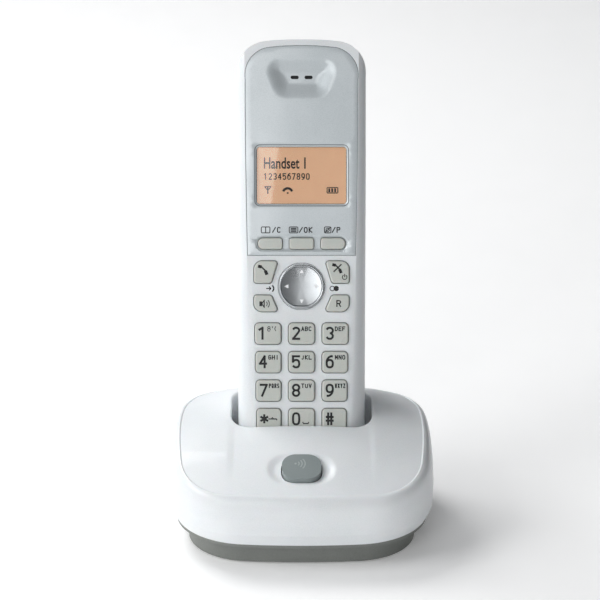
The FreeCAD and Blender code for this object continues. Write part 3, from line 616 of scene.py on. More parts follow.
class Grain(Enum):
    """How a surface was made, which decides the pattern that its finish has."""

    SPARKED = "spark-eroded mould, a fine even pitting"
    FLAKE = "paint with metal flake under clear gloss"
    POLISHED = "polished mould or plate, nearly smooth"
    TURNED = "turned about an axis, with fine rings"
    PRINTED = "ink laid on a surface"


@dataclass(frozen=True)
class Finish:
    """A real finish: its colours, its gloss and the grain that its making left.

    Grain sizes are in millimetres. They are drawn up to three times as coarse as the real ones so that
    they still show at arm's length.
    """

    name: str
    colour: str
    variation: str
    grain: Grain = Grain.SPARKED
    grain_mm: float = 0.35
    relief: float = 0.08
    roughness: float = 0.35
    roughness_spread: float = 0.06
    metallic: float = 0.0
    coat: float = 0.0
    ior: float = 1.5
    clear: float = 0.0
    glow: float = 0.0
    subsurface: float = 0.0

    def material(self) -> bpy.types.Material:
        """Returns the finish's material, made once: mottled colour, uneven gloss and relief from one grain.

        Returns:
            The material, under the finish's name.
        """
        known = bpy.data.materials.get(self.name)
        if known:
            return known
        material = bpy.data.materials.new(self.name)
        material.use_nodes = True
        tree = material.node_tree
        tree.nodes.clear()
        where = add_node(tree, "TexCoord").outputs["Object"]
        fine = self.pattern(tree, where)
        broad = add_node(tree, "TexNoise", {"Vector": where, "Scale": 55.0, "Detail": 3.0}).outputs["Fac"]
        tone = add_node(tree, "Math", {0: fine, 1: broad}, operation="MULTIPLY").outputs[0]
        share = add_node(tree, "MapRange", {"Value": tone, "From Min": 0.1, "From Max": 0.42}).outputs[0]
        colour = add_node(
            tree, "Mix", {"Factor": share, 6: linear(self.colour), 7: linear(self.variation)}, data_type="RGBA"
        ).outputs[2]
        low, high = self.roughness - self.roughness_spread, self.roughness + self.roughness_spread
        gloss = add_node(
            tree, "MapRange", {"Value": broad, "From Min": 0.3, "From Max": 0.7, "To Min": low, "To Max": high}
        ).outputs[0]
        bump = add_node(
            tree, "Bump", {"Height": fine, "Strength": self.relief, "Distance": self.grain_mm * MM * 0.25}
        ).outputs[0]
        surface = add_node(
            tree,
            "BsdfPrincipled",
            {
                "Base Color": colour,
                "Roughness": gloss,
                "Normal": bump,
                "Metallic": self.metallic,
                "Coat Weight": self.coat,
                "Coat Roughness": 0.06,
                "IOR": self.ior,
                "Transmission Weight": self.clear,
                "Subsurface Weight": self.subsurface,
                "Subsurface Scale": 0.002,
            },
        )
        if self.glow:
            tree.links.new(colour, surface.inputs["Emission Color"])
            surface.inputs["Emission Strength"].default_value = self.glow
        add_node(tree, "OutputMaterial", {"Surface": surface.outputs[0]})
        return material

    def pattern(self, tree: bpy.types.NodeTree, where: Any) -> Any:
        """Returns the socket of the fine pattern that the grain has, between 0 and 1.

        Args:
            tree: the material's node tree.
            where: socket of the coordinates.

        Returns:
            The output socket of the pattern.
        """
        per_metre = 1.0 / (self.grain_mm * MM)
        if self.grain is Grain.FLAKE:
            return add_node(tree, "TexVoronoi", {"Vector": where, "Scale": per_metre}).outputs["Distance"]
        if self.grain is Grain.TURNED:
            stretch = add_node(tree, "Mapping", {"Vector": where, "Scale": (per_metre, per_metre, per_metre * 0.06)})
            rings = {"Vector": stretch.outputs[0], "Scale": 1.0, "Detail": 2.0}
            return add_node(tree, "TexNoise", rings).outputs["Fac"]
        return add_node(tree, "TexNoise", {"Vector": where, "Scale": per_metre, "Detail": 2.0}).outputs["Fac"]


# White ABS from a fine spark-eroded mould: soft sheen, a little light let in at the edges.
WHITE_ABS = Finish("white_moulded_abs", "#eef1f3", "#e4e8ea", roughness=0.34, subsurface=0.06, coat=0.15)
# Grey ABS of the foot: coarser spark texture, duller.
GREY_ABS = Finish("grey_moulded_abs", "#7f827e", "#757874", grain_mm=0.5, relief=0.14, roughness=0.52)
# Silver paint with fine aluminium flake under a clear, glossy hard coat.
SILVER_PAINT = Finish(
    "silver_paint_under_hard_coat", "#d6dcdf", "#c6ced1", Grain.FLAKE, 0.22, 0.05, 0.36, 0.04, 0.25, 0.9
)
# Clear acrylic lens: polished, no colour of its own.
ACRYLIC = Finish("clear_acrylic", "#ffffff", "#fbfdff", Grain.POLISHED, 2.0, 0.0, 0.02, 0.01, ior=1.49, clear=1.0)
# Liquid crystal glass with an amber light behind it.
AMBER_DISPLAY = Finish(
    "amber_backlit_display", "#e6b893", "#dfae87", Grain.SPARKED, 0.3, 0.0, 0.4, 0.05, glow=0.42
)
# Keys moulded in translucent grey-white resin, satin top.
KEY_RESIN = Finish(
    "translucent_key_resin", "#cfd2cc", "#c4c8c1", grain_mm=0.3, roughness=0.3, subsurface=0.1, coat=0.3
)
# Plated ABS with a satin turned look.
SATIN_CHROME = Finish(
    "satin_plated_abs", "#bfc2c4", "#abafb2", Grain.TURNED, 0.12, 0.05, 0.3, 0.05, metallic=1.0
)
# Raised arrows of the navigator: the key's turned plating, drawn lighter and less metallic.
PALE_PLATE = Finish("bright_plated_relief", "#f0f1f2", "#dfe1e3", Grain.TURNED, 0.12, 0.05, 0.3, 0.04, metallic=0.6)
# Grey button plastic, satin.
BUTTON_ABS = Finish("grey_button_abs", "#8b9494", "#828b8b", grain_mm=0.3, roughness=0.33, coat=0.2)
# Black pad-printing ink, slightly glossy.
BLACK_INK = Finish("black_printing_ink", "#0c0d0f", "#141518", Grain.PRINTED, 0.4, 0.02, 0.38)
# Grey ink that marks the locator button.
PALE_INK = Finish("pale_printing_ink", "#a9b1b1", "#a0a8a8", Grain.PRINTED, 0.4, 0.02, 0.4)
# Painted shadow: a dark grey line round the display window and along the edge of the panel, matt, standing in for the
# shade at the window's edge and in the gap round the panel.
PAINTED_SHADOW_LINE = Finish("painted_shadow_line", "#5d6467", "#6a7175", Grain.PRINTED, 0.4, 0.02, 0.35)
# Dark segments of the display.
DISPLAY_INK = Finish("display_segments", "#2b211b", "#33261e", Grain.PRINTED, 0.4, 0.0, 0.5)
# Black glass-filled plastic of sockets, holders and capsules.
BLACK_PLASTIC = Finish("black_moulded_plastic", "#17181a", "#202124", grain_mm=0.4, relief=0.15, roughness=0.5)
# Moulded rubber of the feet: matt, a little dusty.
FOOT_RUBBER = Finish("moulded_rubber", "#2b2c2e", "#37383a", grain_mm=0.6, relief=0.2, roughness=0.78)
# Silicone of the keypad mat, pale and dull.
SILICONE = Finish("moulded_silicone", "#c9cac8", "#bfc0be", grain_mm=0.6, relief=0.1, roughness=0.7, subsurface=0.2)
# Green solder mask over glass fibre.
SOLDER_MASK = Finish("green_solder_mask", "#14532d", "#1b6437", grain_mm=0.8, relief=0.1, roughness=0.3, coat=0.3)
# Tinned sheet steel.
TINPLATE = Finish("tinned_sheet_steel", "#b9bcbe", "#a9acae", Grain.POLISHED, 0.5, 0.08, 0.3, metallic=1.0)
# Zinc-plated screws.
ZINC = Finish("zinc_plated_steel", "#b4b7ba", "#9fa3a7", Grain.POLISHED, 0.3, 0.1, 0.35, metallic=1.0)
# Nickel-plated spring wire and strip.
NICKEL = Finish("nickel_plated_steel", "#c6c4bc", "#b7b5ad", Grain.POLISHED, 0.3, 0.05, 0.2, metallic=1.0)
# Gold flash on the charge contacts.
GOLD_FLASH = Finish("gold_flashed_contact", "#d9b76a", "#cda956", Grain.POLISHED, 0.3, 0.04, 0.2, metallic=1.0)
# Shrink sleeve round the cells.
CELL_SLEEVE = Finish("shrink_sleeve", "#3e7d5a", "#376f50", Grain.POLISHED, 0.6, 0.05, 0.28, coat=0.3)
# Open-cell foam.
FOAM = Finish("black_foam", "#1b1b1c", "#29292a", grain_mm=0.5, relief=0.5, roughness=0.95)
# Clear amber moulding of the light guide.
GUIDE = Finish("amber_light_guide", "#f0c79c", "#e8bb8c", Grain.POLISHED, 1.0, 0.0, 0.2)


# ---------------------------------------------------------------- printing


def lettering(text: str, cap_height: float, weight: float = 0.0) -> tuple[Array, Array]:
    """Lays out text flat, its lower left corner at the origin, scaled so that a capital H has the height.

    Args:
        text: generic letters or figures.
        cap_height: height of a capital, in millimetres.
        weight: how far each outline is moved out to thicken the strokes, as a share of the type size.

    Returns:
        The points (n, 2) in millimetres and the triangles.
    """

    def outline(body: str) -> tuple[Array, Array]:
        """Turns one string to flat triangles in the font's own size.

        Args:
            body: the string.

        Returns:
            The points (n, 2) and the triangles.
        """
        curve = bpy.data.curves.new("type", "FONT")
        curve.body, curve.offset, curve.resolution_u = body, weight, 3
        holder = bpy.data.objects.new("type", curve)
        mesh = bpy.data.meshes.new_from_object(holder)
        points = np.empty(len(mesh.vertices) * 3)
        mesh.vertices.foreach_get("co", points)
        corners = np.empty(len(mesh.loops), np.int32)
        mesh.loops.foreach_get("vertex_index", corners)
        faces = corners.reshape(len(mesh.polygons), -1)
        bpy.data.meshes.remove(mesh)
        bpy.data.objects.remove(holder)
        bpy.data.curves.remove(curve)
        return points.reshape(-1, 3)[:, :2], faces

    capital, _ = outline("H")
    points, faces = outline(text)
    return (points - points.min(0)) * cap_height / np.ptp(capital[:, 1]), faces


# Strokes of generic figures, capitals and signs on a grid 4 wide and 6 high: two digits are a point across and
# up, spaces part the points, bars part the strokes, and a tilde marks a stroke that is rounded.
STROKES: dict[str, str] = {
    "0": "~10 01 05 16 36 45 41 30 10",
    "1": "05 26 20",
    "2": "~05 16 36 45 44 00|00 40",
    "3": "~05 16 36 45 44 33 23|~23 33 42 41 30 10 01",
    "4": "30 36 02 42",
    "5": "46 06 03|~03 14 34 43 41 30 10 01",
    "6": "~46 26 04 01 10 30 41 43 34 14 03",
    "7": "06 46 10",
    "8": "~23 13 04 05 16 36 45 44 33 23|~23 13 02 01 10 30 41 42 33 23",
    "9": "~00 20 42 45 36 16 05 03 12 32 43",
    "A": "00 26 40|12 32",
    "B": "00 06|~06 36 45 44 33 03|~03 33 42 41 30 00",
    "C": "~45 36 16 05 01 10 30 41",
    "D": "00 06|~06 26 45 41 20 00",
    "E": "46 06 00 40|03 33",
    "F": "46 06 00|03 33",
    "G": "~45 36 16 05 01 10 30 41|41 43 23",
    "H": "00 06|40 46|03 43",
    "I": "20 26",
    "J": "~36 31 20 10 01",
    "K": "00 06|46 03 40",
    "L": "06 00 40",
    "M": "00 06 22 46 40",
    "N": "00 06 40 46",
    "O": "~10 01 05 16 36 45 41 30 10",
    "P": "00 06|~06 36 45 44 33 03",
    "Q": "~10 01 05 16 36 45 41 30 10|22 40",
    "R": "00 06|~06 36 45 44 33 03|23 40",
    "S": "~45 36 16 05 04 13 33 42 41 30 10 01",
    "T": "06 46|26 20",
    "U": "~06 01 10 30 41 46",
    "V": "06 20 46",
    "W": "06 10 24 30 46",
    "X": "06 40|46 00",
    "Y": "06 23 46|23 20",
    "Z": "06 46 00 40",
    "*": "25 21|04 42|02 44",
    "#": "10 16|30 36|02 42|04 44",
    "/": "00 46",
}


def rounded_path(path: Array, rounds: int = 3) -> Array:
    """Chaikin's corner cutting: each side gives the points a quarter and three quarters along it.

    Args:
        path: points of the path, (n, 2).
        rounds: how many times the corners are cut.

    Returns:
        The rounded path; a closed one stays closed.
    """
    closed = bool(np.allclose(path[0], path[-1]))
    for _ in range(rounds):
        near = 0.75 * path[:-1] + 0.25 * path[1:]
        far = 0.25 * path[:-1] + 0.75 * path[1:]
        cut = np.stack([near, far], 1).reshape(-1, 2)
        path = np.vstack([cut, cut[:1]]) if closed else np.vstack([path[:1], cut, path[-1:]])
    return path


def drawn_text(text: str, height: float, width: float, gap: float, weight: float) -> tuple[Array, Array]:
    """Draws figures and capitals as strokes of even weight, the lower left corner of the first at the origin.

    Args:
        text: characters of STROKES.
        height: height over the strokes.
        width: width of a character over its strokes.
        gap: clear space between characters.
        weight: width of a stroke.

    Returns:
        The points (n, 2) in millimetres and the quads.
    """
    points, quads, count = [], [], 0
    for place, character in enumerate(text):
        for stroke in STROKES[character].split("|"):
            grid = np.array([[int(c) for c in pair] for pair in stroke.strip("~").split()], float)
            path = rounded_path(grid) if stroke.startswith("~") else grid
            share = path / (4.0, 6.0)
            path = share * (width - weight, height - weight) + weight / 2 + (place * (width + gap), 0)
            for part in [path] if stroke.startswith("~") else [path[i : i + 2] for i in range(len(path) - 1)]:
                along = part[-1] - part[0]
                length = np.linalg.norm(along)
                if len(part) == 2 and length > 0:
                    push = along / length * weight / 2 * 0.8
                    part = np.stack([part[0] - push, part[1] + push])
                strip, faces = ribbon(part, weight)
                points.append(strip)
                quads.append(faces + count)
                count += len(strip)
    return np.vstack(points), np.vstack(quads)


def ribbon(path: Sequence[Sequence[float]], width: float) -> tuple[Array, Array]:
    """A stroke of even width along a path: each point moved half the width to both sides of its tangent.

    Args:
        path: points along the middle of the stroke.
        width: width of the stroke.

    Returns:
        The points (2n, 2) and the quads.
    """
    line = np.asarray(path, float)
    tangent = np.gradient(line, axis=0)
    tangent /= np.linalg.norm(tangent, axis=1, keepdims=True)
    normal = np.stack([-tangent[:, 1], tangent[:, 0]], -1) * width / 2
    i = np.arange(len(line) - 1)
    return np.vstack([line + normal, line - normal]), np.stack([i, i + 1, i + 1 + len(line), i + len(line)], -1)


def bow(centre: Sequence[float], radius: float, start: float, end: float, count: int = 12) -> Array:
    """Points on a circle from one angle to another, in degrees."""
    angle = np.radians(np.linspace(start, end, count))
    return np.asarray(centre, float) + radius * np.stack([np.cos(angle), np.sin(angle)], -1)


# ---------------------------------------------------------------- sub-assemblies


@dataclass
class SubAssembly:
    """A group of pieces that share a frame and ride on one body."""

    seat: Seat
    body: str

    def fit(self, piece: bpy.types.Object, slot: str, *nodes: str, body: str = "") -> bpy.types.Object:
        """Makes a piece ride and hides the CAD nodes that it stands for.

        Args:
            piece: the piece.
            slot: not used.
            nodes: CAD nodes that it stands for.
            body: body that it rides on, when not the sub-assembly's.

        Returns:
            The piece.
        """
        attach(piece, body or self.body)
        if nodes:
            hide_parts(*nodes)
        return piece

    def skin(self, node: str, finish: Finish, slot: str, body: str = "", crease: float = 28.0) -> bpy.types.Object:
        """Replaces a CAD node by its smooth copy."""
        return self.fit(smooth_copy(node, finish, crease), slot, node, body=body)

    def print_flat(
        self, name: str, points: Array, faces: Any, depth: float, slot: str, finish: Finish, body: str = ""
    ) -> bpy.types.Object:
        """Lays a print on a plane that faces the user, 0.03 mm thick.

        Args:
            name: the print's name.
            points: points across and up, (n, 2).
            faces: faces that index the points.
            depth: depth of the plane.
            slot: not used; it is only passed on to fit, which ignores it.
            finish: the ink.
            body: body that it rides on.

        Returns:
            The print.
        """
        draft = Draft().add(self.seat.flat(points, depth, front=True), faces)
        piece = draft.build(name, self.seat, finish, outward=(0, -1, 0), wall=PRINT)
        return self.fit(piece, slot, body=body)

    def print_strokes(
        self, name: str, strokes: Strokes, depth: float, slot: str, finish: Finish, body: str = ""
    ) -> bpy.types.Object:
        """Lays a print drawn with strokes on a plane that faces the user.

        Args:
            name: the print's name.
            strokes: pairs of a path and the width of its stroke.
            depth: depth of the plane.
            slot: not used; it is only passed on to fit, which ignores it.
            finish: the ink.
            body: body that it rides on.

        Returns:
            The print.
        """
        draft = Draft()
        for path, width in strokes:
            points, faces = ribbon(path, width)
            draft.add(self.seat.flat(points, depth, front=True), faces)
        piece = draft.build(name, self.seat, finish, outward=(0, -1, 0), wall=PRINT)
        return self.fit(piece, slot, body=body)


def crown_height(points: Array) -> Array:
    """Height of the base's plain top: a parabola, steep in front and level behind, crowned 0.0012 x squared."""
    x, y = points[:, 0], points[:, 1]
    return 28.6 + 0.2989 * (y + 36.8) - 0.003476 * (y + 36.8) * y - 0.0012 * x**2


@dataclass
class Cover(SubAssembly):
    """The base's white cover: crowned top, rounded shoulder, skirt and the leaning pocket."""

    handset: Seat = field(default_factory=lambda: Seat((0.0, 0.0, 0.0)))
    rim: tuple[float, float, float] = (45.4, 36.8, 19.0)
    rim_step: float = 0.35
    shoulder: float = 6.5
    pocket: tuple[float, float, float] = (52.4, 26.4, 7.5)
    pocket_floor: float = -0.35
    break_line: float = 14.0
    lip: float = 1.2
    channel: float = 1.0
    corner_drop: float = 2.8
    dish: tuple[float, float, float] = (26.0, 15.0, 0.8)
    button: tuple[float, float] = (14.4, 12.0)
    button_gap: float = 0.35
    button_y: float = -24.2
    levels: tuple[tuple[float, float, float, float], ...] = (
        (9.5, 47.6, 38.8, 28.0),
        (14.0, 49.0, 40.1, 27.0),
        (20.0, 49.3, 40.4, 26.0),
        (29.0, 48.8, 39.7, 25.0),
        (44.0, 46.6, 37.2, 22.0),
    )

    def top(self, points: Array) -> Array:
        """Height of the top over points in plan.

        It rises steeply in front and levels off behind as a parabola, is crowned across, drops on an arc
        behind and at the rear corners, stands a little higher beside the channel in front of the pocket,
        and sinks in the button's dish.

        Args:
            points: points in plan, (n, 2).

        Returns:
            One height for each point.
        """
        x, y = points[:, 0], points[:, 1]
        height = crown_height(points)
        past = np.clip(y - 27.0, 0, 13.0)
        height -= 14.0 - np.sqrt(196.0 - past**2)
        beside = 0.75 + 0.25 * smooth_step((np.abs(x) - 24.6) / 3.0)
        height += self.channel * beside * smooth_step((y + 34.0) / 22.0)
        height -= self.corner_drop * smooth_step((np.abs(x) - 22.0) / 22.0) * smooth_step(y / 30.0)
        width, depth, sunk = self.dish
        loop = box_loop(width, depth, depth / 2 - 0.1, (0, self.button_y), 10)
        return height - sunk * smooth_step(depth_inside(points, loop) / 3.4)

    def pocket_rim(self) -> Array:
        """Where the pocket's leaning wall meets the top, found by Newton's rule along each wall line.

        Returns:
            Points of the wall in the handset's plan and their heights, (n, 3).
        """
        width, depth, corner = self.pocket
        wall = even_loop(box_loop(width, depth, corner, (0, -0.4), 12), 0.9)
        up = np.full(len(wall), 12.0)
        for _ in range(12):
            here = self.in_base(wall, up)
            miss = here[:, 2] - self.top(here[:, :2])
            ahead = self.in_base(wall, up + 0.01)
            slope = (ahead[:, 2] - self.top(ahead[:, :2]) - miss) / 0.01
            up = up - miss / slope
        return np.column_stack([wall, up])

    def in_base(self, wall: Array, up: Array | float) -> Array:
        """Turns points of the handset's frame, plan and height, to the base's frame in millimetres."""
        local = np.column_stack([wall, np.broadcast_to(up, len(wall))])
        return (self.handset.place(local) - self.seat.origin) / MM

    def build(self) -> None:
        """Builds the cover, cuts the socket openings and fits it."""
        piece = self.outside(Draft()).build("base_cover", self.seat, WHITE_ABS, 24.0, (0, 0, 1), wall=1.6)
        for name, low, high in (
            ("line_hole", (-23.3, 34.0, 10.3), (-12.7, 46.0, 18.8)),
            ("line_room", (-25.2, 23.2, 0.0), (-10.8, 36.0, 20.6)),
            ("power_room", (12.6, 23.2, 0.0), (23.4, 36.0, 20.4)),
        ):
            carve(piece, self.block(name, low, high))
        carve(piece, self.round_hole())
        settle(piece, WHITE_ABS, 24.0)
        self.fit(piece, "white_shell", "base_top_cover")

    def outside(self, draft: Draft) -> Draft:
        """Adds the top, its sunk edge, the shoulder and skirt, and the pocket with its rounded lip.

        Args:
            draft: the draft that takes the surfaces.

        Returns:
            The same draft.
        """
        width, depth, corner = self.rim
        rim = bulged_loop(width, depth, corner)[0]
        inner = bulged_loop(width - 0.5, depth - 0.5, corner - 0.5)[0]
        rim_height = self.top(rim) + self.rim_step
        floor = np.column_stack([inner, self.top(inner)])
        edge_top = np.column_stack([rim - (rim - inner) * 0.4, rim_height - 0.1])
        draft.grid(np.stack([floor, edge_top, np.column_stack([rim, rim_height])]))
        draft.grid(self.skirt(rim, rim_height))
        edge = self.pocket_rim()
        wall, up = edge[:, :2], edge[:, 2]
        opened = self.in_base(wall, up)
        mouth = grown(opened[:, :2], self.lip)
        across, along = (size + 2 * self.button_gap for size in self.button)
        hole = box_loop(across, along, 5.5, (0, self.button_y), 10)
        fine = [(box_loop(30, 18, 8.8, (0, self.button_y)), 0.6)]
        fine += [(box_loop(5.0, 30.0, 1.0, (x, -16.0)), 0.6) for x in (-26.1, 26.1)]
        points, faces = pierced_plane(inner, [mouth, hole], 1.7, fine)
        draft.add(np.column_stack([points, self.top(points)]), faces)
        start = np.column_stack([mouth, self.top(mouth)])
        crest = np.column_stack([opened[:, :2], self.top(opened[:, :2])])
        low = self.in_base(wall, up - self.lip)
        share = np.linspace(0, 1, 6)[:, None, None]
        draft.grid((1 - share) ** 2 * start + 2 * share * (1 - share) * crest + share**2 * low)
        share = np.linspace(0, 1, 10)[:, None]
        rows = [self.in_base(wall, h) for h in (1 - share) * (up - self.lip) + share * self.pocket_floor]
        draft.grid(np.stack(rows))
        slots = [box_loop(3.4, 6.2, 0.3, (x, 3.0)) for x in (-10.0, 10.0)]
        points, faces = pierced_plane(wall, slots, 2.0)
        draft.add(self.in_base(points, self.pocket_floor), faces)
        button = np.column_stack([hole, self.top(hole)])
        draft.grid(np.stack([button, button - (0, 0, 2.0)]))
        return draft

    def skirt(self, rim: Array, rim_height: Array) -> Array:
        """Rows from the rim down: a quarter ellipse out to the side, then the bowed side to the lower edge.

        The ellipse starts part way round behind, where the top already slopes down.

        Args:
            rim: rim in plan, (n, 2).
            rim_height: height of the rim at each point.

        Returns:
            The rows of points, (rows, n, 3).
        """
        z, *sizes = np.array(self.levels).T
        edge = rim_height - self.shoulder
        heights = np.arange(9.0, 45.0, 0.5)
        table = bulged_loop(*(np.interp(heights, z, size) for size in sizes))

        def side(height: Array) -> Array:
            """Outline point of each column at its own height, read from the table of outlines.

            Args:
                height: one height for each column.

            Returns:
                The points in plan, (n, 2).
            """
            at = np.clip((height - 9.0) / 0.5, 0, len(heights) - 1.001)
            i, part = at.astype(int), (at % 1)[:, None]
            column = np.arange(len(height))
            return table[i, column] * (1 - part) + table[i + 1, column] * part

        begin = np.radians(42.0) * smooth_step((rim[:, 1] - 28.0) / 8.0)
        rows = []
        for share in np.linspace(0, 1, 9):
            angle = begin + share * (np.pi / 2 - begin)
            out = ((np.sin(angle) - np.sin(begin)) / (1 - np.sin(begin)))[:, None]
            height = rim_height - self.shoulder * (np.cos(begin) - np.cos(angle)) / np.cos(begin)
            rows.append(np.column_stack([rim + (side(edge) - rim) * out, height]))
        for share in np.linspace(0, 1, 12)[1:]:
            height = edge * (1 - share) + self.break_line * share
            rows.append(np.column_stack([side(height), height]))
        for height in (self.break_line - 0.25, 12.0, 9.5):
            inward = 0.55 * (self.break_line - height) / 4.5
            level = np.full(len(rim), height)
            rows.append(np.column_stack([side(level) * (1 - inward / 49.0), level]))
        return np.stack(rows)

    def block(self, name: str, low: Sequence[float], high: Sequence[float]) -> bpy.types.Object:
        """A box that cuts an opening, from its lowest to its highest corner.

        Args:
            name: the cutter's name.
            low: lowest corner.
            high: highest corner.

        Returns:
            The cutter.
        """
        a, b = np.array(low), np.array(high)
        loop = np.array([(a[0], a[1]), (b[0], a[1]), (b[0], b[1]), (a[0], b[1])])
        rows = np.stack([np.column_stack([loop, np.full(4, h)]) for h in (a[2], b[2])])
        return Draft().grid(rows).fan(rows[0]).fan(rows[1]).build(name, self.seat, WHITE_ABS)

    def round_hole(self) -> bpy.types.Object:
        """A cylinder of 3.6 mm radius that cuts the opening of the power socket.

        Returns:
            The cutter.
        """
        ring = bow((18.0, 14.2), 3.6, 0, 360, 49)[:-1]
        rows = np.stack([np.column_stack([ring[:, 0], np.full(48, y), ring[:, 1]]) for y in (34.0, 46.0)])
        return Draft().grid(rows).fan(rows[0]).fan(rows[1]).build("power_hole", self.seat, WHITE_ABS)


@dataclass
class Base(SubAssembly):
    """The charging base: white cover, grey foot, sockets, contacts and what they hold."""

    button_stand: float = 1.36

    def build(self) -> None:
        """Dresses the foot, the button and its mark, then the contacts."""
        self.skin("base_bottom_cover", GREY_ABS, "grey_plinth")
        self.skin("locator_button", BUTTON_ABS, "grey_button", body="locator_button", crease=35.0)
        self.button_print()
        for side in ("left", "right"):
            name = f"charge_contact_{side}"
            self.skin(name, GOLD_FLASH, "gold_contact", body=name)
        self.inside()

    def button_print(self) -> None:
        """Lays the locator's mark on the button, whose top stands 1.31 mm over the plain crown of the cover."""
        draft = Draft()
        for path, width in button_waves():
            points, faces = ribbon(path, width)
            points = points + (0.0, -23.0)
            draft.add(np.column_stack([points, crown_height(points) + self.button_stand]), faces)
        piece = draft.build("locator_mark", self.seat, PALE_INK, outward=(0, 0, 1), wall=PRINT)
        self.fit(piece, "grey_button", body="locator_button")

    def inside(self) -> None:
        """Finishes for the feet, sockets and everything the housing hides."""
        inner: dict[str, tuple[Finish, str]] = {
            "rubber_feet": (FOOT_RUBBER, "foot_rubber"),
            "base_screws": (ZINC, "zinc_screw"),
            "power_socket": (BLACK_PLASTIC, "black_plastic"),
            "line_socket": (BLACK_PLASTIC, "black_plastic"),
            "contact_holder": (BLACK_PLASTIC, "black_plastic"),
            "locator_switch": (BLACK_PLASTIC, "black_plastic"),
            "base_circuit_board": (SOLDER_MASK, "circuit_board"),
            "base_board_components": (BLACK_PLASTIC, "black_plastic"),
            "base_shield_can": (TINPLATE, "tinned_steel"),
            "base_antennas": (TINPLATE, "tinned_steel"),
        }
        for node, (finish, slot) in inner.items():
            self.skin(node, finish, slot)


def button_waves() -> Strokes:
    """Strokes of the locator's mark about the origin: a dot, then three arcs that widen to the right."""
    waves = [(bow((-2.2, 0.0), radius, -42, 42, 8), 0.42) for radius in (1.3, 2.4, 3.5)]
    return [(bow((-2.2, 0.0), 0.2, 0, 360, 10), 0.5), *waves]


@dataclass
class FacePanel(SubAssembly):
    """Silver panel: crowned outline, rounded edge, bowl of the earpiece, key trough and window."""

    face: float = -12.0
    back: float = -10.0
    bowl_depth: float = 1.5
    trough_depth: float = 0.6

    def half_width(self, height: float) -> float:
        """Half the width of the handset's face at a height: 21.3 mm at the top, less by a power of 2.2 below."""
        return 21.3 - 3.8 * ((154 - height) / 154) ** 2.2 - 0.25

    def outline(self) -> Array:
        """Outer edge, anticlockwise: a straight foot, gently bowed sides and a crowned top.

        Returns:
            The outline, (n, 2).
        """
        low, mid, top = (self.half_width(h) for h in (73.2, 110.0, 136.0))
        parts = [
            straight((-low, 73.3), (low, 73.3), 40),
            arc_through((low, 73.3), (mid, 110), (top, 139), 60),
            arc_through((top, 139), (top - 2.7, 147.6), (13, 150.7), 24),
            arc_through((13, 150.7), (0, 151.5), (-13, 150.7), 30),
            arc_through((-13, 150.7), (2.7 - top, 147.6), (-top, 139), 24),
            arc_through((-top, 139), (-mid, 110), (-low, 73.3), 60),
        ]
        return np.vstack(parts)

    def bowl(self) -> Array:
        """Edge of the earpiece bowl, wide above and narrow below."""
        corners = [(-9.3, 131.4), (9.3, 131.4), (15.4, 146.8), (-15.4, 146.8)]
        return even_loop(rounded_loop(corners, [6.5, 6.5, 5.0, 5.0], 12), 0.6)

    def depth(self, points: Array) -> Array:
        """Depth of the panel's face: the bowl's wall falls as an S over 6.5 mm, the trough's over 0.7 mm.

        Args:
            points: points of the front view, (n, 2).

        Returns:
            One depth for each point.
        """
        sunk = self.bowl_depth * smooth_step(depth_inside(points, self.bowl()) / 6.5)
        trough = even_loop(box_loop(34.2, 5.9, 2.9, (0, 77.7), 12), 0.4)
        return self.face + sunk + self.trough_depth * smooth_step(depth_inside(points, trough) / 0.7)

    def build(self) -> None:
        """Makes the panel as one sheet with its edges turned back, then gives it a wall."""
        edge = self.outline()
        window = box_loop(33.4, 21.2, 1.2, (0, 103.1), 8)
        slots = [box_loop(3.0, 1.3, 0.6, (x, 139.7), 6) for x in (-2.6, 2.6)]
        keys = [grown(soft_key_loop(side), 0.25) for side in (-1, 0, 1)]
        inner = grown(edge, -0.3)
        frame = grown(window, 0.5)
        trough = (box_loop(36, 8, 3.6, (0, 77.7)), 0.55)
        points, faces = pierced_plane(inner, [frame, *slots, *keys], 1.8, [(grown(self.bowl(), 1.0), 0.55), trough])
        draft = Draft().add(self.at(points, self.depth(points)), faces)
        turned = [(0.0, self.back), (0.0, -11.7), (-0.05, -11.85), (-0.15, -11.96), (-0.3, self.face)]
        draft.grid(np.stack([self.at(grown(edge, g) if g else edge, v) for g, v in turned]))
        bevel = [(0.5, self.face), (0.3, -11.9), (0.0, -11.55), (0.0, self.back)]
        draft.grid(np.stack([self.at(grown(window, g) if g else window, v) for g, v in bevel]))
        for loop in (*slots, *keys):
            draft.grid(np.stack([self.at(loop, self.depth(loop)), self.at(loop, self.back)]))
        piece = draft.build("panel", self.seat, SILVER_PAINT, 32.0, (0, -1, 0), wall=0.7)
        self.fit(piece, "silver_panel", "face_panel")
        # Painted shadow: one dark sheet round the window and one in the gap along the panel's edge stand in for the
        # shade there; they are not black plastic.
        line = Draft().grid(np.stack([self.at(grown(window, g), self.face - PROUD) for g in (0.62, 0.92)]))
        line.grid(np.stack([self.at(grown(edge, g), self.face + 0.3) for g in (0.02, 0.24)]))
        self.fit(line.build("window_line", self.seat, PAINTED_SHADOW_LINE, outward=(0, -1, 0), wall=PRINT), "black_plastic")

    def at(self, points: Array, depth: Array | float) -> Array:
        """Points of the front view at a depth."""
        return self.seat.flat(points, depth, front=True)


def soft_key_loop(side: int) -> Array:
    """Outline of a soft key: -1 the left one, 0 the middle one, 1 the right one, outer ends round.

    Args:
        side: which key.

    Returns:
        The outline, anticlockwise, (n, 2).
    """
    x, a, b = side * 11.7, 4.55, 2.05
    radii = {-1: [2.0, 0.9, 0.9, 2.0], 0: [0.9] * 4, 1: [0.9, 2.0, 2.0, 0.9]}[side]
    return rounded_loop([(x - a, 77.7 - b), (x + a, 77.7 - b), (x + a, 77.7 + b), (x - a, 77.7 + b)], radii, 8)


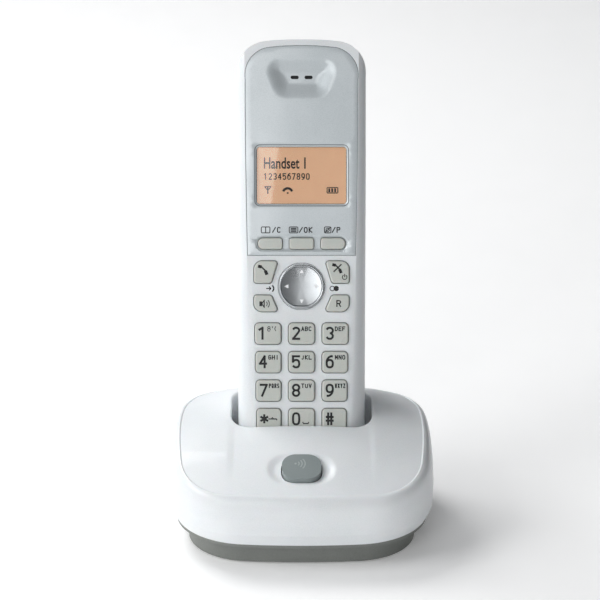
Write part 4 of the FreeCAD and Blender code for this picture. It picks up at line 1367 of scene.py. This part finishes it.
@dataclass
class Key(SubAssembly):
    """A moulded key: cap with a rounded edge, flange behind the face wall, and plunger."""

    name: str = ""
    loop: Array = field(default_factory=lambda: np.zeros((0, 2)))
    top: float = -12.9
    flange: float = -10.1
    flare: float = 0.55
    edge: float = 0.4

    def build(self) -> None:
        """Rows from the flange's back round the quarter circle of the edge to the top, closed at both ends."""
        turn = np.linspace(0, np.pi / 2, 6)
        rows = [(self.flare, self.flange + 0.8), (self.flare, self.flange), (0.0, self.flange)]
        rows += [(-self.edge * (1 - np.cos(t)), self.top + self.edge * (1 - np.sin(t))) for t in turn]
        rows.append((-self.edge - 0.35, self.top))
        cap = np.stack([self.seat.flat(grown(self.loop, g), v, front=True) for g, v in rows])
        x, z = self.loop.mean(0)
        stem = box_loop(3.2, 2.8, 0.3, (x, z), 4)
        post = np.stack([self.seat.flat(stem, v, front=True) for v in (self.flange + 0.4, -6.6)])
        draft = Draft().grid(cap).fan(cap[0]).fan(cap[-1])
        draft.grid(post).fan(post[0]).fan(post[1])
        piece = draft.build(f"{self.name}_cap", self.seat, KEY_RESIN, 35.0)
        self.fit(piece, "key_resin", self.name)


@dataclass
class Navigator(SubAssembly):
    """Four-way key: wide skirt, bright rounded ring and a dish with four small arrows."""

    height: float = 61.8
    radius: float = 8.45
    flat: float = 0.955

    def ring(self, radius: Array, depth: Array) -> Array:
        """Circles of given radii and depths, each cut off level above and below at a share of its radius.

        Args:
            radius: radii, one for each ring.
            depth: depths, one for each ring.

        Returns:
            The rings, (rings, 96, 3).
        """
        angle = np.linspace(0, math.tau, 97)[:-1]
        x = radius[:, None] * np.cos(angle)
        z = radius[:, None] * np.clip(np.sin(angle), -self.flat, self.flat) + self.height
        return np.stack([x, np.broadcast_to(depth[:, None], x.shape), z], -1)

    def build(self) -> None:
        """Profile of the skirt, the ring's rounded crest and a dish that is a parabola 0.55 mm deep."""
        turn = np.linspace(0, np.pi, 9)
        crest = np.stack([8.0 + 0.45 * np.cos(turn), -12.5 - 0.4 * np.sin(turn)], -1)
        dish = np.linspace(7.4, 0.4, 14)
        bowl = np.stack([dish, -12.75 + 0.55 * (1 - (dish / 7.4) ** 2)], -1)
        profile = np.vstack([[(9.25, -8.9), (9.25, -9.4), (8.45, -9.4)], crest, bowl])
        rows = self.ring(profile[:, 0], profile[:, 1])
        draft = Draft().grid(rows).fan(rows[-1])
        under = self.ring(np.array([9.25, 5.4, 5.4]), np.array([-8.9, -8.9, -10.6]))
        draft.grid(under).fan(under[-1])
        piece = draft.build("navigator", self.seat, SATIN_CHROME, 40.0)
        self.fit(piece, "plated_key", "nav_key")
        arrows = Draft()
        for angle in np.radians([0, 90, 180, 270]):
            turn_by = np.array([[math.cos(angle), -math.sin(angle)], [math.sin(angle), math.cos(angle)]])
            corners = np.array([(6.5, 0.0), (4.9, 0.75), (4.9, -0.75)]) @ turn_by.T + (0, self.height)
            arrows.add(self.seat.flat(corners, -12.62, front=True), [[0, 1, 2]])
        piece = arrows.build("navigator_arrows", self.seat, PALE_PLATE, outward=(0, -1, 0), wall=0.16)
        self.fit(piece, "plated_key")


@dataclass
class Handset(SubAssembly):
    """The handset: shells, face panel, display, keys and what they hold."""

    face: float = -12.0
    key_top: float = -12.9
    pitch_x: float = 12.5
    pitch_z: float = 10.6
    row_1: float = 44.2
    key_w: float = 9.7
    key_h: float = 7.85
    legends: dict[str, tuple[str, str]] = field(
        default_factory=lambda: {
            "1": ("1", ""),
            "2": ("2", "ABC"),
            "3": ("3", "DEF"),
            "4": ("4", "GHI"),
            "5": ("5", "JKL"),
            "6": ("6", "MNO"),
            "7": ("7", "PQRS"),
            "8": ("8", "TUV"),
            "9": ("9", "WXYZ"),
            "star": ("*", ""),
            "0": ("0", ""),
            "hash": ("#", ""),
        }
    )

    def build(self) -> None:
        """Dresses the shells and panel, then builds the display, the keys and their prints."""
        self.skin("handset_front_shell", WHITE_ABS, "white_shell", crease=24.0)
        self.skin("handset_rear_shell", WHITE_ABS, "white_shell", crease=24.0)
        self.skin("battery_cover", WHITE_ABS, "white_shell", body="battery_cover", crease=24.0)
        FacePanel(self.seat, self.body).build()
        self.skin("display_lens", ACRYLIC, "clear_lens")
        Navigator(self.seat, "nav_key").build()
        self.display()
        self.keys()
        self.inside()

    def display(self) -> None:
        """Display cell behind the lens, with a name line, figures and three icons."""
        cell = self.seat.flat(box_loop(33.2, 21.0, 0.6, (0, 103.1)), -9.95, front=True)
        draft = Draft().fan(cell)
        self.fit(draft.build("display_cell", self.seat, AMBER_DISPLAY, outward=(0, -1, 0), wall=0.05), "display_cell")
        self.skin("lcd_module", BLACK_PLASTIC, "display_cell")
        points, faces = lettering("Handset 1", 4.2, 0.02)
        points[:, 0] *= 15.6 / np.ptp(points[:, 0])
        self.print_flat("display_name", points + (-14.1, 105.6), faces, -10.03, "display_cell", DISPLAY_INK)
        points, faces = drawn_text("1234567890", 2.5, 1.35, 0.4, 0.38)
        self.print_flat("display_figures", points + (-14.1, 101.5), faces, -10.03, "display_cell", DISPLAY_INK)
        battery = box_loop(4.0, 2.0, 0.2, (11.5, 97.6), 3)
        icons = [
            (np.array([(-12.6, 96.3), (-12.6, 98.9)]), 0.5),
            (np.array([(-13.8, 99.0), (-12.6, 97.5), (-11.4, 99.0)]), 0.42),
            (np.array([(-13.8, 99.0), (-11.4, 99.0)]), 0.35),
            (bow((-5.2, 96.6), 1.75, 20, 160), 0.9),
            (np.array([(-5.5, 96.6), (-4.9, 96.6)]), 0.6),
            (np.vstack([battery, battery[:1]]), 0.36),
            *((np.array([(x, 96.9), (x, 98.3)]), 0.7) for x in (10.3, 11.4, 12.5)),
        ]
        self.print_strokes("display_icons", icons, -10.03, "display_cell", DISPLAY_INK)

    def key_centre(self, label: str) -> tuple[float, float]:
        """Centre of a figure key across and up the handset."""
        index = list(self.legends).index(label)
        return (index % 3 - 1) * self.pitch_x, self.row_1 - (index // 3) * self.pitch_z

    def keys(self) -> None:
        """Builds all keys, each with its print riding on it."""
        corners = {
            "talk_key": ([(-17.7, 63), (-11.3, 63), (-8.8, 71.2), (-17.7, 71.2)], [1, 1.2, 1, 3]),
            "speaker_key": ([(-17.7, 52.4), (-8.6, 52.4), (-11.2, 58.5), (-17.7, 58.5)], [3, 1, 1.2, 1]),
        }
        for name, twin in (("talk_key", "off_key"), ("speaker_key", "recall_key")):
            loop = rounded_loop(*corners[name], 8)
            Key(self.seat, name, name, loop).build()
            Key(self.seat, twin, twin, (loop * (-1, 1))[::-1]).build()
        for side, name in zip((-1, 0, 1), ("soft_key_left", "soft_key_middle", "soft_key_right")):
            Key(self.seat, name, name, soft_key_loop(side), -12.2, -9.85, 0.35, 0.3).build()
        self.glyphs()
        self.small_marks()
        for label, (figure, letters) in self.legends.items():
            name = f"key_{label}"
            x, z = self.key_centre(label)
            trim = 0.22 * (list(self.legends).index(label) // 3)
            left = x - self.key_w / 2 + (trim if x < 0 else 0)
            right = x + self.key_w / 2 - (trim if x > 0 else 0)
            low, top = z - self.key_h / 2, z + self.key_h / 2
            loop = rounded_loop([(left, low), (right, low), (right, top), (left, top)], [1.5] * 4, 8)
            Key(self.seat, name, name, loop).build()
            points, faces = drawn_text(figure, 4.9, 3.1, 0.0, 0.8)
            place = (left + 1.25, top - 6.25)
            depth = self.key_top - PROUD
            self.print_flat(f"{name}_figure", points + place, faces, depth, "black_plastic", BLACK_INK, name)
            if letters:
                wide = (3.9 - 0.2 * (len(letters) - 1)) / max(3, len(letters))
                points, faces = drawn_text(letters, 1.75, wide, 0.2, 0.36)
                place = (left + 4.7, top - 1.25 - 1.75)
                self.print_flat(f"{name}_letters", points + place, faces, depth, "black_plastic", BLACK_INK, name)

    def small_marks(self) -> None:
        """Small marks beside the figures on three keys: and, apostrophe and bracket, tone, and a space."""
        drawn: dict[str, Strokes] = {
            "1": [
                (bow((5.2, 6.15), 0.42, 0, 360, 20), 0.28),
                (bow((5.2, 5.35), 0.5, -20, 320, 20), 0.28),
                (np.array([(6.5, 6.6), (6.5, 6.0)]), 0.3),
                (bow((8.5, 5.75), 1.1, 130, 230, 14), 0.28),
            ],
            "star": [
                (np.array([(5.0, 4.0), (8.1, 4.0)]), 0.42),
                (np.array([(6.1, 4.0), (6.5, 4.6), (6.9, 4.0)]), 0.36),
                (np.array([(8.1, 4.0), (8.1, 3.5)]), 0.36),
            ],
            "0": [(np.array([(5.3, 2.9), (5.5, 2.3), (7.3, 2.3), (7.5, 2.9)]), 0.42)],
        }
        for label, strokes in drawn.items():
            x, z = self.key_centre(label)
            corner = (x - self.key_w / 2, z - self.key_h / 2)
            moved = [(path + corner, width) for path, width in strokes]
            name, depth = f"key_{label}", self.key_top - PROUD
            self.print_strokes(f"{name}_mark", moved, depth, "black_plastic", BLACK_INK, name)

    def glyphs(self) -> None:
        """Line glyphs on the four function keys, beside the navigator and above the soft keys."""
        top, face = self.key_top - PROUD, self.face - PROUD
        handle = np.array([(-16.2, 69.3), (-14.9, 69.0), (-13.5, 67.6), (-12.9, 66.1)])
        cone = np.array([(-15.2, 54.4), (-15.2, 56.2)])
        drawn: dict[str, tuple[str, float, Strokes]] = {
            "talk_glyph": ("talk_key", top, [(handle, 0.6), (handle[:2], 1.2), (handle[2:], 1.2)]),
            "off_glyph": (
                "off_key",
                top,
                [
                    (handle + (27.6, 0.6), 0.55),
                    (handle[:2] + (27.6, 0.6), 1.1),
                    (handle[2:] + (27.6, 0.6), 1.1),
                    (np.array([(11.9, 67.2), (14.8, 70.0)]), 0.45),
                    (bow((16.0, 65.2), 0.85, 120, 420, 18), 0.3),
                    (np.array([(16.0, 65.2), (16.0, 66.4)]), 0.3),
                ],
            ),
            "speaker_glyph": (
                "speaker_key",
                top,
                [
                    (cone, 1.0),
                    (np.array([(-14.8, 55.3), (-13.9, 56.6)]), 0.35),
                    (np.array([(-14.8, 55.3), (-13.9, 54.0)]), 0.35),
                    (np.array([(-13.9, 53.8), (-13.9, 56.8)]), 0.35),
                    (bow((-13.9, 55.3), 1.1, -45, 45), 0.28),
                    (bow((-13.9, 55.3), 1.9, -45, 45), 0.28),
                ],
            ),
            "redial_glyph": (
                "handset",
                face,
                [
                    (np.array([(-13.2, 61.0), (-11.4, 61.0)]), 0.4),
                    (np.array([(-12.1, 61.7), (-11.4, 61.0)]), 0.35),
                    (np.array([(-12.1, 60.3), (-11.4, 61.0)]), 0.35),
                    (bow((-11.9, 61.0), 1.5, -50, 50), 0.5),
                ],
            ),
            "store_glyph": (
                "handset",
                face,
                [(bow((11.4, 61.0), 0.85, 0, 360, 24), 0.3), (bow((12.9, 61.0), 0.5, 0, 360, 24), 1.0)],
            ),
        }
        for name, (body, depth, strokes) in drawn.items():
            self.print_strokes(name, strokes, depth, "black_plastic", BLACK_INK, body)
        points, faces = drawn_text("R", 2.6, 1.8, 0.0, 0.45)
        self.print_flat("recall_letter", points + (12.9, 54.1), faces, top, "black_plastic", BLACK_INK, "recall_key")
        for name, text, x in (("c", "/C", -11.0), ("ok", "/OK", -1.0), ("p", "/P", 11.2)):
            points, faces = drawn_text(text, 2.2, 1.45, 0.35, 0.4)
            self.print_flat(f"label_{name}", points + (x, 81.7), faces, face, "black_plastic", BLACK_INK)
        lines: Strokes = []
        for x, wide in ((-13.4, 3.2), (-3.0, 3.2), (9.7, 2.4)):
            frame = box_loop(wide, 2.2, 0.3, (x, 82.8), 3)
            lines.append((np.vstack([frame, frame[:1]]), 0.34))
        lines.append((np.array([(-13.4, 81.8), (-13.4, 83.8)]), 0.34))
        lines += [(np.array([(-4.1, z), (-1.9, z)]), 0.4) for z in (82.25, 82.8, 83.35)]
        lines += [(bow((9.7, 82.8), 0.62, 0, 360, 24), 0.3), (np.array([(8.7, 81.9), (10.7, 83.7)]), 0.34)]
        self.print_strokes("label_marks", lines, face, "black_plastic", BLACK_INK)

    def inside(self) -> None:
        """Finishes for everything the shells hide."""
        inner: dict[str, tuple[Finish, str]] = {
            "lcd_backlight": (GUIDE, "light_guide"),
            "earpiece_speaker": (BLACK_PLASTIC, "black_plastic"),
            "earpiece_gasket": (FOAM, "foam"),
            "handset_circuit_board": (SOLDER_MASK, "circuit_board"),
            "keypad_mat": (SILICONE, "silicone"),
            "microphone": (TINPLATE, "tinned_steel"),
            "loudspeaker": (BLACK_PLASTIC, "black_plastic"),
            "handset_shield_can": (TINPLATE, "tinned_steel"),
            "handset_antenna": (TINPLATE, "tinned_steel"),
            "battery_cell_left": (CELL_SLEEVE, "cell_jacket"),
            "battery_cell_right": (CELL_SLEEVE, "cell_jacket"),
            "battery_springs": (NICKEL, "spring_steel"),
            "battery_plates": (NICKEL, "spring_steel"),
            "handset_charge_plates": (GOLD_FLASH, "gold_contact"),
            "handset_screws": (ZINC, "zinc_screw"),
            "nav_actuator": (SILICONE, "silicone"),
        }
        for node, (finish, slot) in inner.items():
            self.skin(node, finish, slot, body="nav_rocker" if node == "nav_actuator" else "")


@dataclass(frozen=True)
class Lamp:
    """A square soft light: its place and side in metres and its power in watts."""

    name: str
    place: tuple[float, float, float]
    side: float
    power: float


@dataclass
class Studio:
    """Pale floor that curves up behind, soft lights and the camera; sizes in metres, the lens in millimetres."""

    middle: tuple[float, float, float]
    distance: float = 1.0
    elevation: float = 22.5
    lens: float = 162.0
    reach: float = 0.7
    bright: float = 0.36
    dim: float = 0.05
    lamps: tuple[Lamp, ...] = (
        Lamp("key_light", (-0.95, -0.35, 0.75), 0.6, 5.6),
        Lamp("front_light", (-0.36, -1.02, 0.5), 0.68, 3.4),
        Lamp("back_light", (-0.5, 0.5, 0.95), 0.55, 7.5),
    )

    def build(self) -> None:
        """Makes the sweep, the lights, the surroundings and the camera."""
        self.sweep()
        for lamp in self.lamps:
            self.light(lamp)
        self.surroundings()
        self.camera()

    def light(self, lamp: Lamp) -> None:
        """Adds a light that looks at the object.

        Args:
            lamp: the light's place, side and power.
        """
        source = bpy.data.lights.new(lamp.name, "AREA")
        source.size, source.energy = lamp.side, lamp.power
        holder = bpy.data.objects.new(lamp.name, source)
        bpy.context.scene.collection.objects.link(holder)
        holder.location = lamp.place
        holder.rotation_mode = "QUATERNION"
        holder.rotation_quaternion = (Vector(self.middle) - Vector(lamp.place)).to_track_quat("-Z", "Y")

    def surroundings(self) -> None:
        """Cool white light from all round, whose strength falls evenly from the left to the right."""
        world = bpy.data.worlds.new("studio")
        world.use_nodes = True
        tree = world.node_tree
        facing = add_node(tree, "SeparateXYZ", {0: add_node(tree, "TexCoord").outputs["Generated"]}).outputs[0]
        span = {"Value": facing, "From Min": -0.9, "From Max": 0.7, "To Min": self.bright, "To Max": self.dim}
        strength = add_node(tree, "MapRange", span).outputs[0]
        tree.links.new(strength, tree.nodes["Background"].inputs["Strength"])
        tree.nodes["Background"].inputs["Color"].default_value = linear("#f8fbff")
        bpy.context.scene.world = world
        bpy.context.scene.view_settings.view_transform = "Standard"

    def camera(self) -> None:
        """Adds the camera, straight in front and raised, looking at the middle."""
        camera = bpy.data.cameras.new("camera")
        camera.lens, camera.sensor_width = self.lens, 36.0
        holder = bpy.data.objects.new("camera", camera)
        bpy.context.scene.collection.objects.link(holder)
        rise = math.radians(self.elevation)
        back = Vector((0.0, -math.cos(rise), math.sin(rise)))
        holder.location = Vector(self.middle) + back * self.distance
        holder.rotation_mode = "QUATERNION"
        holder.rotation_quaternion = (-back).to_track_quat("-Z", "Y")
        bpy.context.scene.camera = holder

    def sweep(self) -> None:
        """Floor and wall as one profile, level to 1.2 m behind, then a quarter circle of 0.6 m, carried across."""
        turn = np.radians(np.linspace(-90, 0, 16))
        bend = np.stack([1.2 + 0.6 * np.cos(turn), 0.6 + 0.6 * np.sin(turn)], -1)
        profile = np.vstack([[(-self.reach, 0.0)], bend, [(1.8, 3.0)]])
        across = np.array([-self.reach, self.reach])
        points = np.stack(
            [np.repeat(across, len(profile)), np.tile(profile[:, 0], 2), np.tile(profile[:, 1], 2)], -1
        )
        i, n = np.arange(len(profile) - 1), len(profile)
        mesh = bpy.data.meshes.new("sweep")
        mesh.from_pydata(points.tolist(), [], np.stack([i, i + n, i + n + 1, i + 1], -1).tolist())
        floor = bpy.data.objects.new("sweep", mesh)
        bpy.context.scene.collection.objects.link(floor)
        # Matt white paper that glows a little, so that it stays white where the lights fall off.
        paper = Finish(
            "white_background_paper", "#ffffff", "#fbfbfb", grain_mm=3.0, relief=0.0, roughness=0.9, glow=0.14
        )
        settle(floor, paper, 60.0)


def main() -> None:
    """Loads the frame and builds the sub-assemblies."""
    logging.basicConfig(level=logging.INFO, format="%(message)s")
    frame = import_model()
    low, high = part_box("base_top_cover")
    base_y = (low[1] + high[1]) / 2
    joints = {joint["name"]: joint for joint in frame["joints"]}
    up = joints["handset_lift"]["axis"]
    lean = math.atan2(up[1], up[2])
    pivot = np.asarray(joints["nav_up_down"]["pos_m"], float)
    foot = pivot - Seat((0.0, 0.0, 0.0), lean).place(np.array([[0.0, -7.4, 61.8]]))[0]
    upright, leaning = Seat((0.0, base_y, 0.0)), Seat(tuple(foot), lean)
    Cover(upright, "base", leaning).build()
    Base(upright, "base").build()
    Handset(leaning, "handset").build()
    Studio((-0.0006, base_y + 0.014, 0.0844)).build()


if __name__ == "__main__":
    main()
